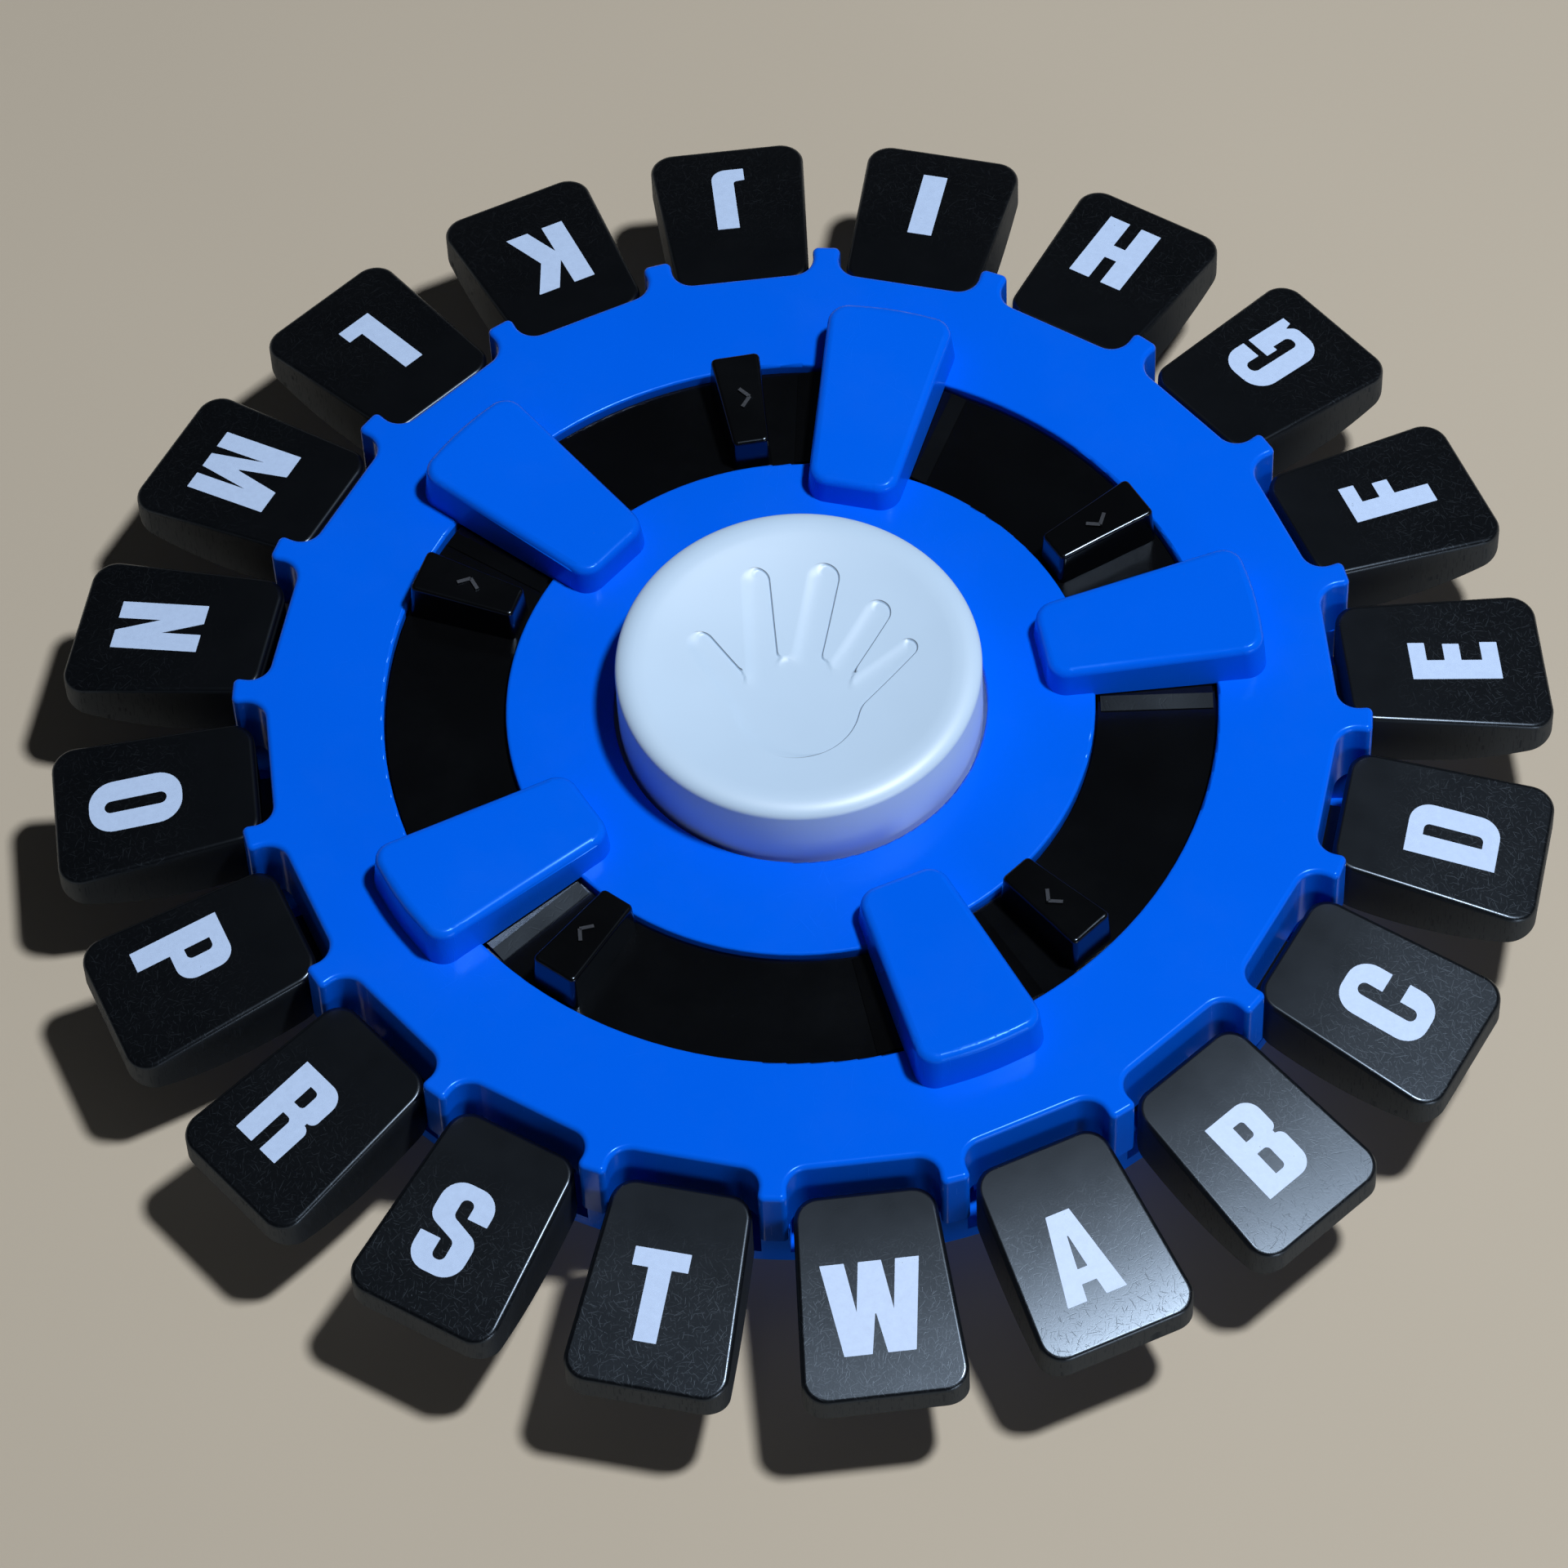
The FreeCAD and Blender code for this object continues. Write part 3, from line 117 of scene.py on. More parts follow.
class BoardSizes(bpy.types.PropertyGroup):
    """Sizes of the printed and moulded detail."""

    print_height: length("Print height", "How far the letters stand up from their keys", 0.00005)
    letter_fall: angle("Key slope", "How far a key's top leans outward", 10.01)
    key_top: length("Key top", "Height of a key's top at its inner end", 0.02915)
    key_inner: length("Key inner end", "Distance of the keys' inner ends from the axis", 0.0882)
    key_length: length("Key length", "Length of a key's top", 0.0334)
    crown_inner: factor("Inner crown", "Rise of the crown along a key's top, at its inner end", 0.0822)
    crown_outer: factor("Outer crown", "Fall of the crown along a key's top, at its outer end", 0.0437)
    mark_reach: length("Arrow distance", "Distance of the tabs' arrows from the axis", 0.05735)
    mark_height: length("Arrow height", "Height of the tabs' arrows", 0.03993)
    mark_rise: factor("Arrow rise", "How steeply the tabs' tops rise outward", 0.0609)
    press: length("Press", "How far the timer button goes down", 0.003)
    spring_radius: length("Spring radius", "Axis of the coil to the middle of its wire", 0.012)
    spring_wire: length("Spring wire", "Radius of the spring's wire", 0.0006)
    hand_depth: length("Hand depth", "Depth of the hand in the button", 0.00026)
    hand_wall: length("Hand wall", "Width of the steep side of the hand's edge", 0.0002)
    hand_slope: length("Hand slope", "Width of the soft side of the hand's edge", 0.0022)


class StageSettings(bpy.types.PropertyGroup):
    """Floor, lamps and camera."""

    floor: colour("Floor", "Colour of the floor", 0.48, 0.44, 0.37)
    focal: FloatProperty(name="Focal length", description="Of the camera", default=173.02, unit="CAMERA")
    distance: length("Distance", "Camera to its aim", 1.20496)
    elevation: angle("Elevation", "Of the camera above the table", 57.04)
    azimuth: angle("Azimuth", "Of the camera about the board", 5.36)
    roll: angle("Roll", "Of the camera about its own axis", -3.02)
    key_power: FloatProperty(name="Key lamp", description="Its power", default=21.0, unit="POWER")
    fill_power: FloatProperty(name="Fill lamp", description="Its power", default=4.0, unit="POWER")
    sky_low: factor("Low sky", "Strength of the room's light near the floor", 0.17)
    sky_high: factor("High sky", "Strength of the room's light overhead", 0.02)


SETTINGS = {"board_colours": BoardColours, "board_sizes": BoardSizes, "board_stage": StageSettings}


def settings():
    """The three groups of settings, as registered on the scene."""
    return [getattr(bpy.context.scene, name) for name in SETTINGS]


# ---- node helpers ----
def add_node(tree, kind, values=None, **links):
    """A node with some input values and with inputs linked from other sockets."""
    node = tree.nodes.new(kind)
    for name, value in (values or {}).items():
        if name in node.inputs:
            node.inputs[name].default_value = value
        else:
            setattr(node, name, value)
    for name, socket in links.items():
        tree.links.new(socket, node.inputs[name])
    return node


def math_node(tree, operation, first, second=0.0, clamp=False):
    """A Math node's output, from sockets or numbers."""
    node = tree.nodes.new("ShaderNodeMath")
    node.operation = operation
    node.use_clamp = clamp
    for socket, value in zip(node.inputs, (first, second)):
        if isinstance(value, (int, float)):
            socket.default_value = value
        else:
            tree.links.new(value, socket)
    return node.outputs[0]


def times(tree, first, second):
    """The product of two sockets or numbers."""
    return math_node(tree, "MULTIPLY", first, second)


def vector_node(tree, operation, first, second=None):
    """A Vector Math node."""
    node = tree.nodes.new("ShaderNodeVectorMath")
    node.operation = operation
    for socket, value in zip(node.inputs, (first, second)):
        if isinstance(value, tuple):
            socket.default_value = value
        elif value is not None:
            tree.links.new(value, socket)
    return node


def ranged(tree, value, low, high, start=0.0, end=1.0):
    """A value taken from low..high to start..end, clamped."""
    node = tree.nodes.new("ShaderNodeMapRange")
    for name, number in (("From Min", low), ("From Max", high), ("To Min", start), ("To Max", end)):
        node.inputs[name].default_value = number
    tree.links.new(value, node.inputs["Value"])
    return node.outputs["Result"]


def rgba(values):
    """A plain colour with full alpha."""
    return (*values, 1.0)


def shade(values, share):
    """A plain colour made darker or lighter by a share."""
    return [min(1.0, value * share) for value in values]


def mixed(tree, share, first, second):
    """A colour between two, each a socket or a plain colour."""
    node = tree.nodes.new("ShaderNodeMix")
    node.data_type = "RGBA"
    for name, kind, value in (("Factor", "VALUE", share), ("A", "RGBA", first), ("B", "RGBA", second)):
        socket = [s for s in node.inputs if s.name == name and s.type == kind][0]
        if isinstance(value, bpy.types.NodeSocket):
            tree.links.new(value, socket)
        else:
            socket.default_value = rgba(value)
    return [s for s in node.outputs if s.type == "RGBA"][0]


def new_group(name, numbers, outputs):
    """A node group from a vector and some numbers to numbers, with its two end nodes."""
    tree = bpy.data.node_groups.new(name, "ShaderNodeTree")
    tree.interface.new_socket("Vector", in_out="INPUT", socket_type="NodeSocketVector")
    for label, default in numbers.items():
        socket = tree.interface.new_socket(label, in_out="INPUT", socket_type="NodeSocketFloat")
        socket.default_value = default
    for label in outputs:
        tree.interface.new_socket(label, in_out="OUTPUT", socket_type="NodeSocketFloat")
    return tree, tree.nodes.new("NodeGroupInput"), tree.nodes.new("NodeGroupOutput")


def moulded_grain():
    """Fine uneven surface of moulded plastic: a height and a slow variation."""
    tree, start, end = new_group("Moulded grain", {"Grain size": 0.3, "Cloud size": 14.0},
                                 ("Height", "Clouds"))
    for label, target, detail in (("Grain size", "Height", 3.0), ("Cloud size", "Clouds", 2.0)):
        scale = math_node(tree, "DIVIDE", 1000.0, start.outputs[label])
        noise = add_node(tree, "ShaderNodeTexNoise", {"Detail": detail, "Roughness": 0.55},
                         Vector=start.outputs["Vector"], Scale=scale)
        tree.links.new(noise.outputs["Fac"], end.inputs[target])
    return tree


# Layers of scratches: a shift of the pattern, how many times finer it is, and a scratch's half width.
# That width, LINE_HALF_LENGTH and LINE_BEND are shares of a cell of the pattern.
LINE_LAYERS = ((0.113, 1.0, 0.034), (0.271, 1.6, 0.046), (0.419, 2.4, 0.06))
LINE_HALF_LENGTH = 0.55
LINE_BEND = 0.3


def hairline_layer(tree, vector, scale, half_width, seed):
    """A mask with one slightly bent scratch in each cell of a random pattern."""
    shifted = vector_node(tree, "ADD", vector, (seed, seed * 2.0, seed * 3.0)).outputs[0]
    scaled = vector_node(tree, "SCALE", shifted)
    tree.links.new(scale, scaled.inputs["Scale"])
    cells = add_node(tree, "ShaderNodeTexVoronoi", {"Scale": 1.0}, Vector=scaled.outputs[0])
    offset = vector_node(tree, "SUBTRACT", scaled.outputs[0], cells.outputs["Position"]).outputs[0]
    x, y, _ = add_node(tree, "ShaderNodeSeparateXYZ", Vector=offset).outputs
    spin, bow, depth = add_node(tree, "ShaderNodeSeparateColor", Color=cells.outputs["Color"]).outputs
    turn = times(tree, spin, 2 * math.pi)
    sine = math_node(tree, "SINE", turn)
    cosine = math_node(tree, "COSINE", turn)
    along = math_node(tree, "ADD", times(tree, x, cosine), times(tree, y, sine))
    aside = math_node(tree, "SUBTRACT", times(tree, y, cosine), times(tree, x, sine))
    bend = times(tree, times(tree, along, along), ranged(tree, bow, 0.0, 1.0, -LINE_BEND, LINE_BEND))
    aside = math_node(tree, "ABSOLUTE", math_node(tree, "SUBTRACT", aside, bend))
    across_mask = ranged(tree, aside, 0.0, half_width, 1.0, 0.0)
    reach = math_node(tree, "ABSOLUTE", along)
    along_mask = ranged(tree, reach, LINE_HALF_LENGTH / 2, LINE_HALF_LENGTH, 1.0, 0.0)
    return times(tree, times(tree, across_mask, along_mask), depth)


def hairlines():
    """Short random scratches of handled plastic, as a mask."""
    tree, start, end = new_group("Hairline scratches", {"Length": 3.0}, ("Mask",))
    scale = math_node(tree, "DIVIDE", 1000.0, start.outputs["Length"])
    total = None
    for seed, share, width in LINE_LAYERS:
        layer = hairline_layer(tree, start.outputs["Vector"], times(tree, scale, share), width, seed)
        total = layer if total is None else math_node(tree, "MAXIMUM", total, layer)
    tree.links.new(total, end.inputs["Mask"])
    return tree


def facing_up(tree):
    """How far a surface looks up: 1 on a level top and 0 on a wall."""
    normal = add_node(tree, "ShaderNodeNewGeometry").outputs["Normal"]
    return add_node(tree, "ShaderNodeSeparateXYZ", Vector=normal).outputs[2]


def settled_dust():
    """Fine specks and faint smears on faces that look up, as a mask."""
    tree, start, end = new_group("Settled dust", {"Speck size": 0.8, "Amount": 0.3}, ("Mask",))
    scale = math_node(tree, "DIVIDE", 1000.0, start.outputs["Speck size"])
    specks = add_node(tree, "ShaderNodeTexVoronoi", Vector=start.outputs["Vector"], Scale=scale)
    random = add_node(tree, "ShaderNodeSeparateColor", Color=specks.outputs["Color"])
    few = ranged(tree, random.outputs[0], 0.90, 1.0)
    dots = times(tree, ranged(tree, specks.outputs["Distance"], 0.05, 0.16, 1.0, 0.0), few)
    smears = add_node(tree, "ShaderNodeTexNoise", {"Scale": 42.0, "Detail": 5.0, "Roughness": 0.7},
                      Vector=start.outputs["Vector"])
    film = ranged(tree, smears.outputs["Fac"], 0.48, 0.80, 0.0, 0.5)
    mask = times(tree, math_node(tree, "MAXIMUM", dots, film), ranged(tree, facing_up(tree), 0.4, 1.0))
    tree.links.new(times(tree, mask, start.outputs["Amount"]), end.inputs["Mask"])
    return tree


GROUPS = {}


class Finish:
    """A material under way: its tree, its shader and the point being shaded."""

    def __init__(self, name, roughness, specular=0.5, tint=(1.0, 1.0, 1.0), metallic=0.0):
        self.material = bpy.data.materials.new(name)
        self.material.use_nodes = True
        self.tree = self.material.node_tree
        self.tree.nodes.clear()
        output = self.tree.nodes.new("ShaderNodeOutputMaterial")
        self.shader = self.tree.nodes.new("ShaderNodeBsdfPrincipled")
        self.tree.links.new(self.shader.outputs["BSDF"], output.inputs["Surface"])
        self.vector = self.tree.nodes.new("ShaderNodeTexCoord").outputs["Object"]
        for socket, value in (("Roughness", roughness), ("Specular IOR Level", specular),
                              ("Specular Tint", rgba(tint)), ("Metallic", metallic)):
            self.shader.inputs[socket].default_value = value

    def group(self, maker, **values):
        """Places a shared effect, which is built once."""
        if maker not in GROUPS:
            GROUPS[maker] = maker()
        node = self.tree.nodes.new("ShaderNodeGroup")
        node.node_tree = GROUPS[maker]
        for name, value in values.items():
            node.inputs[name.replace("_", " ")].default_value = value
        self.tree.links.new(self.vector, node.inputs["Vector"])
        return node

    def spread(self, value, start=0.0, end=1.0):
        """A noise's usual range taken to start..end."""
        return ranged(self.tree, value, 0.3, 0.7, start, end)

    def mottled(self, value, base, dark, light):
        """A base colour that a noise makes a little darker and lighter."""
        return mixed(self.tree, self.spread(value), shade(base, dark), shade(base, light))

    def colour(self, value):
        """Sets the base colour from a plain colour or a socket."""
        self.feed("Base Color", value)

    def feed(self, name, value):
        """Sets one shader input from a plain value or a socket."""
        if isinstance(value, bpy.types.NodeSocket):
            self.tree.links.new(value, self.shader.inputs[name])
        else:
            self.shader.inputs[name].default_value = value

    def roughen(self, rough, mask, rise):
        """Sets the roughness, higher where a mask marks the surface."""
        marked = times(self.tree, mask, rise)
        self.feed("Roughness", math_node(self.tree, "ADD", rough, marked, clamp=True))

    def bump(self, height, strength, distance):
        """Feeds the normal from a height."""
        values = {"Strength": strength, "Distance": distance}
        node = add_node(self.tree, "ShaderNodeBump", values, Height=height)
        self.tree.links.new(node.outputs["Normal"], self.shader.inputs["Normal"])


# ---- materials ----
# Painted light in the reflections: COOL_LAMP_TINT tints the keys' and the ring's reflections with the bluish
# cast of a cool lamp, and BLUE_GLOSS paints the shells' reflections blue in place of the lamp's white.
COOL_LAMP_TINT = (0.60, 0.77, 1.0)
BLUE_GLOSS = (0.15, 0.45, 1.0)
DARK_DUST = (0.05, 0.055, 0.065)


def relief(finish, *layers):
    """Adds up (value, height in metres) layers and feeds them to the normal."""
    total = None
    for value, height in layers:
        layer = times(finish.tree, value, height)
        total = layer if total is None else math_node(finish.tree, "ADD", total, layer)
    finish.bump(total, 1.0, 1.0)


def blue_plastic(name, base, rough):
    """Satin blue of the shells: even colour, a fine grain and a few hairlines."""
    finish = Finish(name, rough, specular=0.4, tint=BLUE_GLOSS)
    grain = finish.group(moulded_grain, Grain_size=0.5, Cloud_size=26.0)
    lines = finish.group(hairlines, Length=6.0)
    dust = finish.group(settled_dust, Speck_size=1.2, Amount=0.03)
    clean = finish.mottled(grain.outputs["Clouds"], base, 0.985, 1.01)
    finish.colour(mixed(finish.tree, dust.outputs["Mask"], clean, (0.20, 0.36, 0.75)))
    scuffed = ranged(finish.tree, grain.outputs["Clouds"], 0.35, 0.65, rough - 0.02, rough + 0.03)
    finish.roughen(scuffed, lines.outputs["Mask"], 0.06)
    relief(finish, (grain.outputs["Height"], 2e-6), (lines.outputs["Mask"], -1.5e-6))
    return finish.material


def key_run(finish, sizes):
    """How far out a point lies from the keys' inner ends."""
    flat = vector_node(finish.tree, "MULTIPLY", finish.vector, (1.0, 1.0, 0.0)).outputs[0]
    radius = vector_node(finish.tree, "LENGTH", flat).outputs["Value"]
    return math_node(finish.tree, "SUBTRACT", radius, sizes.key_inner)


def key_crown(finish, sizes, run):
    """Height of the faint crown along a key's top."""
    bend = -(sizes.crown_outer + sizes.crown_inner) / (2 * sizes.key_length)
    slope = math_node(finish.tree, "ADD", times(finish.tree, run, bend), sizes.crown_inner)
    return times(finish.tree, slope, run)


def key_plastic(base, sizes):
    """Polished black of the keys, with the fine scratches of many fingers."""
    finish = Finish("Key black", 0.28, specular=0.85, tint=COOL_LAMP_TINT)
    grain = finish.group(moulded_grain, Grain_size=0.3, Cloud_size=7.0)
    dust = finish.group(settled_dust, Speck_size=1.1, Amount=0.05)
    run = key_run(finish, sizes)
    worn = ranged(finish.tree, run, sizes.key_length * 0.2, sizes.key_length * 0.6)
    lines = times(finish.tree, finish.group(hairlines, Length=2.2).outputs["Mask"], worn)
    finish.colour(mixed(finish.tree, dust.outputs["Mask"], base, DARK_DUST))
    scuffed = finish.spread(grain.outputs["Clouds"], 0.27, 0.29)
    matt_sides = ranged(finish.tree, facing_up(finish.tree), 0.15, 0.6, 0.35, 0.0)
    rough = math_node(finish.tree, "ADD", scuffed, matt_sides)
    finish.roughen(rough, lines, 0.32)
    relief(finish, (key_crown(finish, sizes, run), 1.0), (grain.outputs["Height"], 2.5e-6), (lines, -4e-6))
    return finish.material


def ring_plastic(base):
    """Deep black of the reset ring, with faint rubbed lines and a breath of dust."""
    finish = Finish("Ring black", 0.2, specular=0.5, tint=COOL_LAMP_TINT)
    grain = finish.group(moulded_grain, Grain_size=0.5, Cloud_size=18.0)
    lines = finish.group(hairlines, Length=5.0)
    dust = finish.group(settled_dust, Speck_size=1.0, Amount=0.05)
    finish.colour(mixed(finish.tree, dust.outputs["Mask"], base, DARK_DUST))
    scuffed = finish.spread(grain.outputs["Clouds"], 0.18, 0.23)
    finish.roughen(scuffed, dust.outputs["Mask"], 0.4)
    relief(finish, (grain.outputs["Height"], 2e-6), (lines.outputs["Mask"], -3e-6))
    return finish.material


def button_plastic(base):
    """White of the timer button with a cool lamp's tint painted in, smooth with faint clouds."""
    finish = Finish("Button white", 0.45, specular=0.9)
    grain = finish.group(moulded_grain, Grain_size=0.6, Cloud_size=16.0)
    dust = finish.group(settled_dust, Speck_size=1.0, Amount=0.03)
    clean = finish.mottled(grain.outputs["Clouds"], base, 0.99, 1.01)
    dusty = mixed(finish.tree, dust.outputs["Mask"], clean, (0.35, 0.38, 0.42))
    edge_shadow = add_node(finish.tree, "ShaderNodeAttribute", {"attribute_name": "edge_shadow"}).outputs["Fac"]
    # Painted shadow: the button's colour goes dark blue along the hand's steep edges.
    finish.colour(mixed(finish.tree, edge_shadow, dusty, (0.02, 0.035, 0.07)))
    finish.feed("Roughness", finish.spread(grain.outputs["Clouds"], 0.43, 0.48))
    relief(finish, (grain.outputs["Height"], 2e-6))
    return finish.material


def letter_print(base):
    """Printed letter: matt, a little thin in places, with worn specks."""
    finish = Finish("Letter print", 0.45)
    wear = add_node(finish.tree, "ShaderNodeTexNoise", {"Scale": 900.0, "Detail": 4.0, "Roughness": 0.75},
                    Vector=finish.vector)
    patches = add_node(finish.tree, "ShaderNodeTexNoise", {"Scale": 55.0, "Detail": 2.0},
                       Vector=finish.vector)
    chipped = times(finish.tree, ranged(finish.tree, wear.outputs["Fac"], 0.66, 0.72),
                    ranged(finish.tree, patches.outputs["Fac"], 0.50, 0.64))
    ink = finish.mottled(wear.outputs["Fac"], base, 0.93, 1.03)
    finish.colour(mixed(finish.tree, chipped, ink, (0.05, 0.06, 0.09)))
    finish.bump(wear.outputs["Fac"], 0.08, 0.00008)
    return finish.material


def foot_rubber(base):
    """Matt rubber with a grey bloom."""
    finish = Finish("Foot rubber", 0.75, specular=0.3)
    grain = finish.group(moulded_grain, Grain_size=0.5, Cloud_size=5.0)
    tone = ranged(finish.tree, grain.outputs["Clouds"], 0.35, 0.7)
    finish.colour(mixed(finish.tree, tone, base, (0.035, 0.035, 0.036)))
    finish.feed("Roughness", finish.spread(grain.outputs["Height"], 0.65, 0.85))
    finish.bump(grain.outputs["Height"], 0.25, 0.0003)
    return finish.material


def plated_metal(name, base, roughness, stretch):
    """Plated steel with fine drawn lines."""
    finish = Finish(name, roughness, metallic=1.0)
    squeezed = vector_node(finish.tree, "MULTIPLY", finish.vector, stretch).outputs[0]
    lines = add_node(finish.tree, "ShaderNodeTexNoise", {"Scale": 1.0, "Detail": 3.0}, Vector=squeezed)
    finish.colour(finish.mottled(lines.outputs["Fac"], base, 0.85, 1.08))
    finish.feed("Roughness", finish.spread(lines.outputs["Fac"], roughness - 0.08, roughness + 0.12))
    finish.bump(lines.outputs["Fac"], 0.08, 0.0001)
    return finish.material


def plain_moulding(name, base, rough, grain_size):
    """Plain moulded or coated surface with fine grain, for inner pieces."""
    finish = Finish(name, rough)
    grain = finish.group(moulded_grain, Grain_size=grain_size, Cloud_size=6.0)
    finish.colour(finish.mottled(grain.outputs["Clouds"], base, 0.85, 1.15))
    finish.feed("Roughness", finish.spread(grain.outputs["Height"], rough - 0.06, rough + 0.08))
    finish.bump(grain.outputs["Height"], 0.15, 0.0002)
    return finish.material


def banded_wrap():
    """Cell wrap: a dark sleeve with a plain band at one end."""
    finish = Finish("Cell wrap", 0.35)
    parts = add_node(finish.tree, "ShaderNodeSeparateXYZ", Vector=finish.vector)
    band = ranged(finish.tree, parts.outputs[1], 0.0080, 0.0082)
    grain = finish.group(moulded_grain, Grain_size=0.4, Cloud_size=4.0)
    finish.colour(mixed(finish.tree, band, (0.02, 0.05, 0.035), (0.30, 0.20, 0.08)))
    finish.feed("Roughness", finish.spread(grain.outputs["Clouds"], 0.28, 0.42))
    finish.bump(grain.outputs["Height"], 0.05, 0.0001)
    return finish.material


def board_mask():
    """Circuit board: solder mask with traces and pads."""
    finish = Finish("Solder mask", 0.35)
    scaled = vector_node(finish.tree, "MULTIPLY", finish.vector, (700.0, 700.0, 700.0)).outputs[0]
    bricks = add_node(finish.tree, "ShaderNodeTexBrick",
                      {"Color1": (0, 0, 0, 1), "Color2": (0, 0, 0, 1), "Mortar": (1, 1, 1, 1), "Scale": 1.0,
                       "Mortar Size": 0.05, "Brick Width": 1.9, "Row Height": 0.7}, Vector=scaled)
    tracks = bricks.outputs["Color"]
    finish.colour(mixed(finish.tree, tracks, (0.01, 0.10, 0.04), (0.05, 0.24, 0.10)))
    finish.bump(tracks, 0.3, 0.0001)
    return finish.material


def floor_paint(base):
    """Plain pale floor with the faintest unevenness."""
    finish = Finish("Pale floor", 0.75, specular=0.25)
    grain = finish.group(moulded_grain, Grain_size=1.2, Cloud_size=120.0)
    finish.colour(finish.mottled(grain.outputs["Clouds"], base, 0.985, 1.01))
    finish.bump(grain.outputs["Height"], 0.04, 0.0004)
    return finish.material


# ---- mesh helpers ----
def rounded_path(corners):
    """Points of a closed outline, each corner rounded to its own radius or to CORNER_R."""
    points = []
    for i, (x, y, *own) in enumerate(corners):
        radius = own[0] if own else CORNER_R
        corner = Vector((x, y))
        before = (Vector(corners[i - 1][:2]) - corner).normalized()
        after = (Vector(corners[(i + 1) % len(corners)][:2]) - corner).normalized()
        if radius <= 0:
            points.append(corner)
            continue
        half = before.angle(after) / 2
        reach = radius / math.tan(half)
        centre = corner + (before + after).normalized() * (radius / math.sin(half))
        first = corner + before * reach - centre
        last = corner + after * reach - centre
        sweep = first.angle_signed(last)
        for step in range(ARC_STEPS + 1):
            share = -sweep * step / ARC_STEPS
            points.append(centre + Matrix.Rotation(share, 2) @ first)
    return points


def object_from(name, mesh, material):
    """A linked object around a mesh, with its material."""
    piece = bpy.data.objects.new(name, mesh)
    bpy.context.scene.collection.objects.link(piece)
    piece.data.materials.append(material)
    return piece


def paint(node, material):
    """Gives a CAD node a new material."""
    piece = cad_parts[node]
    for slot in piece.material_slots:
        slot.material = material
    if not piece.material_slots:
        piece.data.materials.append(material)


